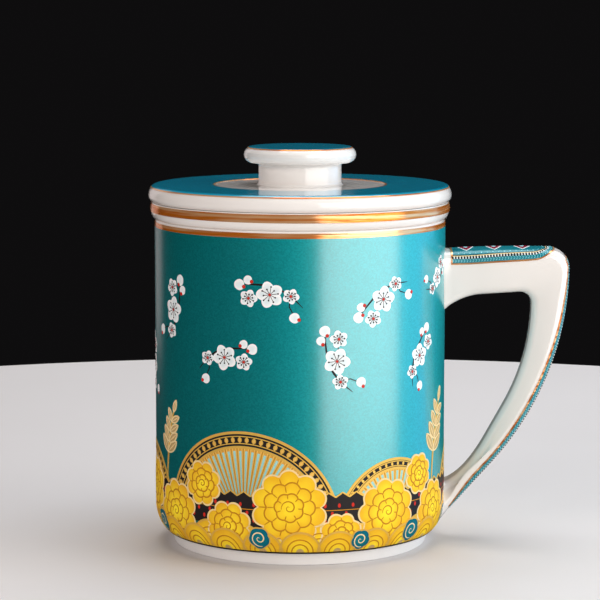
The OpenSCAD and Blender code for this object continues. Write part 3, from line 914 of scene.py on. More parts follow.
    def half_section(self, station: float, grow: float) -> list[Point]:
        """Half of the section, from the middle of the outer face round to that of the inner one.

        Args:
            station: The station number.
            grow: How far it is pushed out.

        Returns:
            Distances from the inner rail and half widths.
        """
        outer, inner = self.rails_at(station)
        depth = (outer - inner).length
        spread = self.root_spread / 2 * self.near_wall(outer.x, self.arm_fillet_reach)
        wide, narrow = self.width / 2 + spread, self.width_in / 2 + spread
        slope, right = math.atan((wide - narrow) / depth), math.radians(90.0)
        flat, flat_in = wide - self.edge_out_r, narrow - self.edge_in_r
        points = [(depth + self.crown * (1 - part ** 2) ** 1.5 + grow, flat * part)
                  for part in (k / self.CROWN_STEPS for k in range(self.CROWN_STEPS))]
        for radius, middle, side, first, swing in (
                (self.edge_out_r, depth - self.edge_out_r, flat, right, right + slope),
                (self.edge_in_r, self.edge_in_r, flat_in, -slope, right - slope)):
            for k in range(self.EDGE_STEPS + 1):
                turn = first - swing * k / self.EDGE_STEPS
                points.append((middle + (radius + grow) * math.sin(turn),
                               side + (radius + grow) * math.cos(turn)))
        return [*points, (-grow, flat_in / 2), (-grow, 0.0)]

    def in_space(self, station: float, spot: Point, side: float) -> Vector:
        """Place a point of a section in space.

        Args:
            station: The station number.
            spot: Distance from the inner rail and half width.
            side: -1 for the front half and 1 for the back half.

        Returns:
            The point in millimetres.
        """
        outer, inner = self.rails_at(station)
        place = inner + (outer - inner).normalized() * spot[0]
        return Vector((place.x, side * spot[1], place.y))

    def ring(self, station: float, grow: float = 0.0) -> list[Vector]:
        """The whole section in space.

        Args:
            station: The station number.
            grow: How far it is pushed out.

        Returns:
            Its points, down the front half and back up the other.
        """
        half = self.half_section(station, grow)
        return [self.in_space(station, spot, -1.0) for spot in half] \
            + [self.in_space(station, spot, 1.0) for spot in half[-2:0:-1]]

    def skin(self, run: float, across: float, raised: float) -> Vector:
        """Point on the outer face.

        Args:
            run: Distance along the outer rail.
            across: Distance round the section from its middle, less than 0 towards the front.
            raised: Height over the surface.

        Returns:
            The point in millimetres.
        """
        station = self.mark_at(run, 1)[0]
        flat, lifted = self.half_section(station, 0.0), self.half_section(station, raised)
        left = abs(across)
        for (a, b), (c, d) in zip(zip(flat, flat[1:]), zip(lifted, lifted[1:])):
            step = math.dist(a, b)
            if left <= step:
                part = left / step
                spot = (c[0] + part * (d[0] - c[0]), c[1] + part * (d[1] - c[1]))
                return self.in_space(station, spot, -1.0 if across < 0 else 1.0)
            left -= step
        raise ValueError(f"{across} mm is past the outer face")


@dataclass
class Band:
    """Where a printed band lies on the handle.

    Attributes:
        start: Distance along the outer rail of its first edge.
        end: Distance of its last edge.
        wide: Distance round the section to its side edge, at its start, middle and end.
        tongue: Length of the rounded end, or 0.
        tip: Share of the width left at the tongue's end.
    """

    start: float
    end: float
    wide: tuple[float, float, float]
    tongue: float = 0.0
    tip: float = 0.5

    TIP, FOOT, TURN = 8, 14, 14

    def half(self, run: float) -> float:
        """Half width at a distance along the rail.

        Args:
            run: The distance.

        Returns:
            The half width in millimetres.
        """
        first, middle, last = self.wide
        part = (run - self.start) / (self.end - self.start)
        bulge = (4 * middle - first - last) * part * (1 - part)
        wide = first * (1 - part) ** 2 + bulge + last * part ** 2
        if not self.tongue:
            return wide
        into = min(1.0, max(0.0, (run - self.end + self.tongue) / self.tongue))
        return wide * math.sqrt(1 - into ** 3 * (1 - self.tip * self.tip))

    def runs(self, step: float) -> list[float]:
        """Distances along the rail, closer towards the tongue's end.

        Args:
            step: Largest distance between them.

        Returns:
            The distances from start to end.
        """
        straight = self.end - self.tongue - self.start
        count = max(2, math.ceil(straight / step))
        rows = [self.start + straight * k / count for k in range(count + 1)]
        turns = self.TURN if self.tongue else 0
        return rows + [self.end - self.tongue * (1 - math.sin(math.pi / 2 * k / turns))
                       for k in range(1, turns + 1)]

    def tip_row(self) -> list[Point]:
        """Spots across the far end, from front to back."""
        half = self.half(self.end)
        return [(self.end, half * (2 * k / self.TIP - 1)) for k in range(1, self.TIP)]

    def loop(self) -> list[Point]:
        """Outline of the band as a closed row of spots.

        Returns:
            Distances along the rail and across it.
        """
        edge = [(run, -self.half(run)) for run in self.runs(1.0)]
        half = self.half(self.start)
        foot = [(self.start, half * (1 - 2 * k / self.FOOT)) for k in range(1, self.FOOT)]
        return [*edge, *self.tip_row(), *[(run, -across) for run, across in reversed(edge)], *foot]

    def paths(self, inset: float, step: float) -> list[list[Point]]:
        """Open rows of spots that follow the band's edge inside it, from foot to foot.

        Args:
            inset: Distance from the edge.
            step: Largest distance between the spots.

        Returns:
            One row round the tongue, or one along each side edge.
        """
        inner = Band(self.start, self.end - (inset if self.tongue else 0.0),
                     tuple(wide - inset for wide in self.wide), self.tongue, self.tip)
        runs = [self.start + (run - self.start) * (inner.end - self.start) / (self.end - self.start)
                for run in self.runs(step)]
        front = [(run, -inner.half(run)) for run in runs]
        back = [(run, -across) for run, across in reversed(front)]
        if not self.tongue:
            return [front, back]
        return [[*front, *inner.tip_row(), *back]]


@dataclass(frozen=True)
class Marks:
    """A row of small printed marks that runs round inside a band's edge.

    Attributes:
        name: Name of the piece.
        ink: Their ink.
        inset: Distance of the row from the band's edge.
        pitch: Distance between the marks.
        size: Their length along the row and across it.
        sides: Corners of a mark.
        slant: How far each is turned, in degrees.
    """

    name: str
    ink: Ink
    inset: float
    pitch: float
    size: Point
    sides: int = 4
    slant: float = 0.0


class MarkTree(PrintTree):
    """Geometry tree that sets flat marks at even distances along paths on a surface."""

    NAME = "marks_on_path"
    INPUTS = {"Pitch": "NodeSocketFloat", "Sides": "NodeSocketInt", "Twist": "NodeSocketFloat",
              "Half length": "NodeSocketFloat", "Half width": "NodeSocketFloat",
              "Thickness": "NodeSocketFloat", "Slant": "NodeSocketFloat"}
    OUT = "out"

    def shape(self, graph: Graph, given: dict[str, Wire]) -> Wire:
        """One mark on every step of the paths, facing out of the surface.

        Args:
            graph: The tree's graph.
            given: The tree's inputs by name.

        Returns:
            The marks.
        """
        path = graph.wire("GeometryNodeMeshToCurve", None, {"Mesh": given["Geometry"]})
        row = graph.wire("GeometryNodeResampleCurve", {"mode": "LENGTH"},
                         {"Curve": path, "Length": given["Pitch"]})
        twist, slant = (graph.wire("ShaderNodeCombineXYZ", None, {"Z": given[name]})
                        for name in ("Twist", "Slant"))
        size = graph.wire("ShaderNodeCombineXYZ", None, {
            "X": given["Half length"], "Y": given["Half width"], "Z": given["Thickness"]})
        mark = graph.wire("GeometryNodeMeshCylinder", {"fill_type": "NGON"},
                          {"Vertices": given["Sides"], "Radius": 1.0, "Depth": 1.0})
        for change, value in (("Rotation", twist), ("Scale", size), ("Rotation", slant)):
            mark = graph.wire("GeometryNodeTransform", None, {"Geometry": mark, change: value})
        out = graph.wire("GeometryNodeInputNamedAttribute", {"data_type": "FLOAT_VECTOR"},
                         {"Name": self.OUT})
        facing = graph.wire("FunctionNodeAxesToRotation",
                            {"primary_axis": "Z", "secondary_axis": "X"},
                            {"Primary Axis": out,
                             "Secondary Axis": graph.wire("GeometryNodeInputTangent")})
        return graph.wire("GeometryNodeInstanceOnPoints", None,
                          {"Points": row, "Instance": mark, "Rotation": facing})

    def run(self, paths: Sequence[Sequence[tuple[Vector, Vector]]], marks: Marks,
            thick: float) -> None:
        """Set marks along open paths.

        Args:
            paths: Places in millimetres and directions out of the surface, for each path.
            marks: The marks.
            thick: Their thickness in millimetres.
        """
        places, outs, edges = [], [], []
        for path in paths:
            first = len(places)
            places.extend(place * MM for place, _ in path)
            outs.extend(value for _, out in path for value in out)
            edges.extend((first + k, first + k + 1) for k in range(len(path) - 1))
        mesh = bpy.data.meshes.new(f"{marks.name}_path")
        mesh.from_pydata(places, edges, [])
        directions = mesh.attributes.new(self.OUT, "FLOAT_VECTOR", "POINT")
        directions.data.foreach_set("vector", outs)
        grow = MM / 2 / math.cos(math.pi / marks.sides)
        self.make(mesh, marks.name, marks.ink, {
            "Pitch": marks.pitch * MM, "Sides": marks.sides, "Twist": math.pi / marks.sides,
            "Half length": marks.size[0] * grow, "Half width": marks.size[1] * grow,
            "Thickness": thick * MM, "Slant": math.radians(marks.slant)})


@dataclass
class Handle:
    """The handle with its two printed and gilt bands.

    Attributes:
        form: The handle's shape.
        frame_w: Width of the gold round a band.
        layer: Height of the bands over the glaze in millimetres.
        gold_layer: How much higher the gold lies.
        sunk: How deep their undersides lie in the glaze.
        medallion: Distance between the medallions down the middle of a band.
        medallion_half: Half length of a whole medallion.
        medallion_clear: Distance from a medallion's side to the band's edge.
        arm_from: Where the arm's band starts, from the wall along the rail.
        arm_past: How far it runs past the crest.
        arm_wide: Its half widths at its start, middle and end.
        arm_tongue: Length of its rounded end.
        leg_from: Where the leg's band starts, from the middle of the corner.
        leg_short: How far from the wall it ends.
        leg_wide: Its half widths at its start, middle and end.
        mark_t: Thickness of the small marks.
        lines: Name, ink, inset, width and height over the band of each fine line.
        medallions: Name, ink, size and height over the band of each layer of the medallions.
        marks: Rows of small marks inside each band's edge.
    """

    form: HandleForm = field(default_factory=HandleForm)
    frame_w: float = 0.5
    layer: float = 0.17
    gold_layer: float = 0.03
    sunk: float = 0.05
    medallion: float = 8.2
    medallion_half: float = 2.3
    medallion_clear: float = 3.7
    arm_from: float = 2.1
    arm_past: float = 0.5
    arm_wide: tuple[float, float, float] = (9.05, 8.35, 7.7)
    arm_tongue: float = 4.6
    leg_from: float = 1.6
    leg_short: float = 1.8
    leg_wide: tuple[float, float, float] = (5.0, 6.9, 6.3)
    mark_t: float = 0.1
    lines: tuple[tuple[str, Ink, float, float, float], ...] = (
        ("band_cream_line", Ink.CREAM, 1.92, 0.26, 0.03),
        ("band_fine_line", Ink.BLACK, 2.2, 0.14, 0.025),
        ("band_tick_ground", Ink.WHITE, 1.5, 0.62, 0.02))
    medallions: tuple[tuple[str, Ink, float, float], ...] = (
        ("band_medallion_edges", Ink.WHITE, 1.0, 0.02),
        ("band_medallions", Ink.PLUM, 0.82, 0.035),
        ("band_medallion_hearts", Ink.SKY, 0.30, 0.05))
    marks: tuple[Marks, ...] = (
        Marks("band_ticks", Ink.BLACK, 1.50, 0.84, (0.46, 0.74)),
        Marks("band_low_dashes", Ink.SKY, 0.40, 0.84, (0.42, 0.14), slant=40.0),
        Marks("band_high_dashes", Ink.SKY, 0.84, 0.84, (0.42, 0.14), slant=-40.0),
        Marks("band_dots", Ink.SKY, 2.75, 1.64, (0.36, 0.36), 6))

    def __post_init__(self) -> None:
        """Place the two bands."""
        form = self.form
        rest = (form.root_sink + self.leg_short) / math.sin(math.radians(form.leg_slope))
        self.arm = Band(form.root_sink + self.arm_from, form.crest + self.arm_past,
                        self.arm_wide, self.arm_tongue)
        self.leg = Band(form.crest + form.corner / 2 + self.leg_from,
                        form.outer.length() - rest, self.leg_wide)

    def build_body(self) -> None:
        """Loft the handle from root to root, with the glaze gathered at the wall."""
        form, rings, stations = self.form, [], []
        for start, end, count in ((0.0, form.ARM_END, 24), (form.ARM_END, form.LEG_START, 56),
                                  (form.LEG_START, form.LEG_END, 48)):
            stations += [start + (end - start) * k / count for k in range(count)]
        for station in [*stations, *[form.LEG_END + k / 2 for k in range(3)]]:
            outer, inner = form.rails_at(station)
            clear = max(0.0, (outer.x + inner.x) / 2 - form.mug_r)
            gathered = max(0.0, 1 - clear / form.flare_reach) ** 2
            rings.append(form.ring(station, form.flare * gathered))
        into_wall = Vector((-form.root_sink, 0.0, 0.0))
        rings = [[p + into_wall for p in rings[0]], *rings, [p + into_wall for p in rings[-1]]]
        columns = len(rings[0])
        last = (len(rings) - 1) * columns
        faces = [tuple(reversed(face)) for face in grid_faces(len(rings), columns, True)]
        faces += [tuple(range(columns)), tuple(last + k for k in reversed(range(columns)))]
        body = Form()
        points = [point for ring in rings for point in ring]
        body.add(points, faces, [0.0] * len(points))
        finish_piece(body.mesh("handle_porcelain", MM), "handle_porcelain", PORCELAIN,
                     Slot.PORCELAIN, 60.0, ["handle"])

    def lay(self, form: Form, spots: list[list[Point]], raised: float, closed: bool = False,
            shade: float = 0.0) -> None:
        """Lay a thin skin on the outer face.

        Args:
            form: The form that takes it.
            spots: Rows of (distance along the rail, distance across).
            raised: Height of its top over the glaze.
            closed: Whether each row runs back to its first spot.
            shade: Its shade.
        """
        top = [self.form.skin(run, across, raised) for row in spots for run, across in row]
        under = [self.form.skin(run, across, -self.sunk) for row in spots for run, across in row]
        faces = grid_faces(len(spots), len(spots[0]), closed)
        first = faces[len(faces) // 2]
        a, b, c = (top[i] for i in first[:3])
        if (b - a).cross(c - a).dot(a - under[first[0]]) < 0:
            faces = [tuple(reversed(face)) for face in faces]
        form.thicken(top, under, faces, [shade] * len(top))

    def build_band(self, band: Band, name: str, nodes: tuple[str, str]) -> None:
        """Lay one band's enamel and its gold frame.

        Args:
            band: Where it lies.
            name: Name that its pieces start with.
            nodes: The solids of the enamel and of the frame.
        """
        columns = 22
        enamel, gold = Form(), Form()
        self.lay(enamel, [[(run, band.half(run) * (2 * k / columns - 1))
                           for k in range(columns + 1)] for run in band.runs(1.2)], self.layer)
        finish_piece(enamel.mesh(f"{name}_enamel", MM), f"{name}_enamel", BAND_TEAL, Slot.BAND,
                     nodes=[nodes[0]])
        loop = band.loop()
        self.lay(gold, [self.offset(loop, self.frame_w * part) for part in (0.0, 0.5, 1.0)],
                 self.layer + self.gold_layer, True)
        finish_piece(gold.mesh(f"{name}_gilding", MM), f"{name}_gilding", GOLD, Slot.GOLD,
                     nodes=[nodes[1]])

    @staticmethod
    def offset(loop: list[Point], distance: float) -> list[Point]:
        """Push a closed loop out by a distance.

        Args:
            loop: Its points, in order.
            distance: How far each goes out.

        Returns:
            The moved points.
        """
        moved = []
        for k, place in enumerate(loop):
            before, after = Vector(loop[k - 1]), Vector(loop[(k + 1) % len(loop)])
            here = Vector(place)
            first, second = (here - before).normalized(), (after - here).normalized()
            normals = Vector((first.y, -first.x)), Vector((second.y, -second.x))
            out = (normals[0] + normals[1]).normalized()
            moved.append(tuple(here + out * distance / max(0.5, out.dot(normals[0]))))
        return moved

    def build_line(self, name: str, ink: Ink, inset: float, wide: float, raised: float) -> None:
        """Lay one fine line round inside the edge of both bands.

        Args:
            name: Name of the piece.
            ink: Its ink.
            inset: Distance from the band's edge to the line's middle.
            wide: Its width.
            raised: Height of its top over the band.
        """
        line = Form()
        for band in (self.arm, self.leg):
            sides = (band.paths(inset + way * wide / 2, 1.0) for way in (-1, 1))
            for outer, inner in zip(*sides):
                self.lay(line, [outer, inner], self.layer + raised, shade=0.7)
        finish_piece(line.mesh(name, MM), name, ink.value, ink.slot)

    def build_medallions(self, name: str, ink: Ink, share: float, raised: float) -> None:
        """Lay the diamonds down the middle of both bands.

        Args:
            name: Name of the piece.
            ink: Their ink.
            share: Their size against a whole medallion.
            raised: Height of their tops over the band.
        """
        diamonds, steps = Form(), [n / 8 - 1 for n in range(17)]
        for band in (self.arm, self.leg):
            room = band.end - band.start - band.tongue
            count = round(room / self.medallion)
            for k in range(count):
                middle = band.start + room * (k + 0.5) / count
                tall = (band.half(middle) - self.medallion_clear) * share
                long = self.medallion_half * share
                rows = [(middle + long * t, tall * max(0.02, 1 - abs(t)) ** 0.8) for t in steps]
                self.lay(diamonds, [[(run, half * t) for t in steps] for run, half in rows],
                         self.layer + raised, shade=0.6)
        finish_piece(diamonds.mesh(name, MM), name, ink.value, ink.slot)

    def build_marks(self) -> None:
        """Set the rows of small marks inside the edge of both bands."""
        tree = MarkTree()
        for marks in self.marks:
            paths = []
            for band in (self.arm, self.leg):
                for path in band.paths(marks.inset, 0.6):
                    low, high = ([self.form.skin(run, across, up) for run, across in path]
                                 for up in (self.layer, self.layer + 1.0))
                    paths.append([(place, (top - place).normalized())
                                  for place, top in zip(low, high)])
            tree.run(paths, marks, self.mark_t)

    def build(self) -> None:
        """Build the handle, both bands and the print on them."""
        self.build_body()
        for band, name in ((self.arm, "arm"), (self.leg, "leg")):
            self.build_band(band, f"{name}_band", (f"{name}_band", f"{name}_gold_frame"))
        for line in self.lines:
            self.build_line(*line)
        for layer in self.medallions:
            self.build_medallions(*layer)
        self.build_marks()


# ---------- print on the mug's side ----------


@dataclass
class MugSide:
    """Outer profile of the mug that the print follows, in millimetres and degrees.

    Attributes:
        heel_in: How far the heel draws in.
        heel_h: Height of the heel's curve.
        heel_start: Angle at which the curve leaves the foot.
    """

    heel_in: float = 4.1
    heel_h: float = 9.0
    heel_start: float = 10.0

    def __post_init__(self) -> None:
        """Work the heel's oval out from the sizes and the frame."""
        start = math.radians(self.heel_start)
        self.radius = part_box("mug_body")[1].y / MM
        self.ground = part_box("mug_colour_ground")[1].y / MM - self.radius
        self.around = 2 * math.pi * self.radius
        self.oval_in = self.heel_in / (1 - math.sin(start))
        self.oval_up = self.heel_h / math.cos(start)
        self.oval_r = self.radius - self.oval_in
        self.oval_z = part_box("foot_ring")[1].z / MM + self.heel_h


class WrapTree(PrintTree):
    """Geometry tree that repeats flat print in a row round the mug and wraps it on its side."""

    NAME = "wrap_print"
    INPUTS = {"Copies": "NodeSocketInt", "Spacing": "NodeSocketFloat",
              "Oval radius": "NodeSocketFloat", "Oval height": "NodeSocketFloat",
              "Oval in": "NodeSocketFloat", "Oval up": "NodeSocketFloat",
              "Ground": "NodeSocketFloat"}

    def shape(self, graph: Graph, given: dict[str, Wire]) -> Wire:
        """Copies of the flat print, each point moved to its place on the mug's side.

        Args:
            graph: The tree's graph.
            given: The tree's inputs by name.

        Returns:
            The wrapped print.
        """
        step = graph.wire("ShaderNodeCombineXYZ", None, {"X": given["Spacing"]})
        row = graph.wire("GeometryNodeMeshLine", {"mode": "OFFSET"},
                         {"Count": given["Copies"], "Offset": step})
        copies = graph.wire("GeometryNodeInstanceOnPoints", None,
                            {"Points": row, "Instance": given["Geometry"]})
        flat = graph.wire("GeometryNodeRealizeInstances", None, {"Geometry": copies})
        return graph.wire("GeometryNodeSetPosition", None,
                          {"Geometry": flat, "Position": self.wrap(graph, given)})

    @staticmethod
    def wrap(graph: Graph, given: dict[str, Wire]) -> Wire:
        """Place of a flat point on the mug's side.

        Args:
            graph: The tree's graph.
            given: The tree's inputs by name.

        Returns:
            The point in metres.
        """
        place = graph.wire("GeometryNodeInputPosition")
        flat = graph.node("ShaderNodeSeparateXYZ", None, {"Vector": place})
        along, up, raised = (Wire(graph, socket) for socket in flat.outputs)
        sine = ((given["Oval height"] - up) / given["Oval up"]).clamped(0.0, 1.0)
        cosine = (1.0 - sine * sine).root()
        out, down = cosine / given["Oval in"], sine / given["Oval up"]
        size = (out * out + down * down).root()
        height = given["Ground"] + raised
        radius = given["Oval radius"] + given["Oval in"] * cosine + height * out / size
        turn = along / (given["Oval radius"] + given["Oval in"])
        return graph.wire("ShaderNodeCombineXYZ", None, {
            "X": radius * turn.sine() * MM, "Y": radius * turn.cosine() * -MM,
            "Z": (up - height * down / size) * MM})

    def run(self, side: MugSide, form: Form, name: str, ink: Ink, copies: int) -> None:
        """Wrap the flat print of one ink.

        Args:
            side: The profile that it is wrapped on.
            form: The flat shapes, as (along the side, up, height over the ground) in millimetres.
            name: Name of the piece.
            ink: Its ink.
            copies: How often it is repeated round the mug.
        """
        self.make(form.mesh(f"{name}_flat"), name, ink, {
            "Copies": copies, "Spacing": side.around / copies, "Oval radius": side.oval_r,
            "Oval height": side.oval_z, "Oval in": side.oval_in, "Oval up": side.oval_up,
            "Ground": side.ground})


# A flat outline: its offset from the shape's centre, by the angle in radians.
Outline = Callable[[float], Point]


def beside(at: Point, far: float, turn: float, opened: float = 1.0) -> Point:
    """Spot at a distance, by the angle in radians from the right; `opened` scales its rise."""
    return at[0] + far * math.cos(turn), at[1] + far * math.sin(turn) * opened


def resampled(path: Sequence[Point], step: float, closed: bool = False) -> list[Point]:
    """Points at even distances along a path.

    Args:
        path: The path's corners.
        step: Largest distance between the points.
        closed: Whether the path runs back to its start.

    Returns:
        The points.
    """
    corners = [*path, path[0]] if closed else list(path)
    lengths = [math.dist(a, b) for a, b in zip(corners, corners[1:])]
    whole = sum(lengths)
    count = max(2, math.ceil(whole / step))
    points, index, passed = [], 0, 0.0
    for k in range(count + (0 if closed else 1)):
        run = whole * k / count
        while index < len(lengths) - 1 and run > passed + lengths[index]:
            passed += lengths[index]
            index += 1
        part = min(1.0, (run - passed) / lengths[index]) if lengths[index] else 0.0
        a, b = corners[index], corners[index + 1]
        points.append((a[0] + part * (b[0] - a[0]), a[1] + part * (b[1] - a[1])))
    return points


class Stencil:
    """Flat print laid out along the mug's side in millimetres, kept apart by ink.

    Shapes lie on levels, each a little above the one below it.
    """

    LEVEL = 0.016
    SUNK = 0.05
    STEP = 0.6
    LINE_SHADE = 0.6
    LINE_CORNERS = 120

    def __init__(self) -> None:
        """Start with no print."""
        self.forms = {ink: Form() for ink in Ink}

    def patch(self, ink: Ink, level: int, rows: Sequence[Sequence[Point]],
              shades: Sequence[float], closed: bool = False, filled: bool = False) -> None:
        """Print a patch between rows of points.

        Args:
            ink: Its ink.
            level: Its level.
            rows: Rows of equal length.
            shades: Shade of each row, from 0 to 1.
            closed: Whether each row runs back to its first point.
            filled: Whether the first row, which is then a small ring, is filled.
        """
        columns = len(rows[0])
        flat = [point for row in rows for point in row]
        faces = grid_faces(len(rows), columns, closed)
        if filled:
            faces.append(tuple(reversed(range(columns))))
        sides = ((flat[face[k - 1]], flat[face[k]]) for face in faces for k in range(len(face)))
        area = sum(a[0] * b[1] - b[0] * a[1] for a, b in sides)
        if area < 0:
            faces = [tuple(reversed(face)) for face in faces]
        top = [Vector((x, y, self.LEVEL * (level + 1))) for x, y in flat]
        under = [Vector((x, y, -self.SUNK)) for x, y in flat]
        tones = [shade for shade in shades for _ in range(columns)]
        self.forms[ink].thicken(top, under, faces, tones)

    def line(self, ink: Ink, level: int, path: Sequence[Point], wide: float, closed: bool = False,
             taper: float = 0.0) -> None:
        """Print a line.

        Args:
            ink: Its ink.
            level: Its level.
            path: Its middle.
            wide: Its width.
            closed: Whether it runs back to its start.
            taper: Share of the width that is lost towards both ends.
        """
        points = resampled(path, self.STEP, closed)
        last = len(points) - 1
        left, right = [], []
        for k, point in enumerate(points):
            before = points[k - 1] if closed or k else point
            after = points[(k + 1) % len(points)] if closed or k < last else point
            run = (Vector(after) - Vector(before)).normalized()
            half = wide / 2 * (1 - taper * abs(2 * k / last - 1) ** 2)
            left.append((point[0] - run.y * half, point[1] + run.x * half))
            right.append((point[0] + run.y * half, point[1] - run.x * half))
        self.patch(ink, level, [left, right], [self.LINE_SHADE] * 2, closed)
    def blob(self, ink: Ink, level: int, centre: Point, reach: Outline, size: float,
             edge: float = 0.0, middle: float = 1.0) -> None:
        """Print a shape that spreads from its centre.

        Args:
            ink: Its ink.
            level: Its level.
            centre: Its centre.
            reach: Its outline.
            size: About how far the outline is from the centre.
            edge: Shade at the edge.
            middle: Shade in the middle.
        """
        columns = max(10, math.ceil(2 * math.pi * size / self.STEP))
        rings = max(2, math.ceil(size / self.STEP))
        offsets = [reach(2 * math.pi * k / columns) for k in range(columns)]
        shares = [(k + 0.35) / (rings + 0.35) for k in range(rings + 1)]
        rows = [[(centre[0] + x * share, centre[1] + y * share) for x, y in offsets]
                for share in shares]
        shades = [middle + (edge - middle) * share ** 1.6 for share in shares]
        self.patch(ink, level, rows, shades, True, True)

    def outline(self, ink: Ink, level: int, centre: Point, reach: Outline, wide: float) -> None:
        """Print the line round a shape, which is given as for `blob`."""
        offsets = (reach(2 * math.pi * k / self.LINE_CORNERS) for k in range(self.LINE_CORNERS))
        self.line(ink, level, [(centre[0] + x, centre[1] + y) for x, y in offsets], wide, True)

    def sector(self, ink: Ink, level: int, centre: Point, radii: Point, turns: Point,
               shades: Point = (1.0, 1.0)) -> None:
        """Print a part of a ring.

        Args:
            ink: Its ink.
            level: Its level.
            centre: Its centre.
            radii: Its inner and outer radius.
            turns: Where it starts and ends, in degrees clockwise from straight up.
            shades: Shade at its inner and outer radius.
        """
        rows = max(1, math.ceil((radii[1] - radii[0]) / self.STEP))
        start, end = (math.radians(turn) for turn in turns)
        columns = max(1, math.ceil(radii[1] * abs(end - start) / self.STEP))
        angles = [start + (end - start) * k / columns for k in range(columns + 1)]
        steps = [k / rows for k in range(rows + 1)]
        between = [[low + (high - low) * step for step in steps] for low, high in (radii, shades)]
        self.patch(ink, level, [[(centre[0] + r * math.sin(t), centre[1] + r * math.cos(t))
                                 for t in angles] for r in between[0]], between[1])

    def arc(self, ink: Ink, level: int, centre: Point, radius: float, turns: Point,
            wide: float) -> None:
        """Print a curved line, as `sector` with a radius and a width."""
        self.sector(ink, level, centre, (radius - wide / 2, radius + wide / 2), turns,
                    (self.LINE_SHADE, self.LINE_SHADE))

    def coil(self, ink: Ink, level: int, centre: Point, tight: float, turns: Point,
             taper: float) -> None:
        """Print a spiral: `tight` is its way out per radian, `turns` its start and step."""
        path = [beside(centre, tight * t, t) for t in (turns[0] + turns[1] * k for k in range(36))]
        self.line(ink, level, path, 0.36, taper=taper)


def scallops(radius: float, count: int, depth: float, turn: float = 0.0) -> Outline:
    """Outline of a flower with round petals.

    Args:
        radius: Distance of the petals' tips from the centre.
        count: Number of petals.
        depth: Share of the radius that the notches cut in.
        turn: How far it is turned, in radians.

    Returns:
        The outline by angle.
    """
    def reach(angle: float) -> Point:
        """Offset of the outline at an angle."""
        size = radius * (1 - depth * (1 - abs(math.sin(count * angle / 2)) ** 0.7))
        return size * math.cos(angle + turn), size * math.sin(angle + turn)
    return reach


def petal(long: float, wide: float, turn: float, point: float = 0.0) -> Outline:
    """Outline of a petal or leaf that starts near its centre and runs out one way.

    Args:
        long: Its length.
        wide: Its width.
        turn: Direction that it runs in, in degrees anticlockwise from the right.
        point: From 0 for a round tip to 1 for pointed ends.

    Returns:
        The outline by angle.
    """
    along = Vector((math.cos(math.radians(turn)), math.sin(math.radians(turn))))
    across = Vector((-along.y, along.x))

    def reach(angle: float) -> Point:
        """Offset of the outline at an angle."""
        width = math.sin(angle) * (1 - point * math.cos(angle) ** 2)
        return tuple(along * (long / 2 * math.cos(angle)) + across * (wide / 2 * width))
    return reach


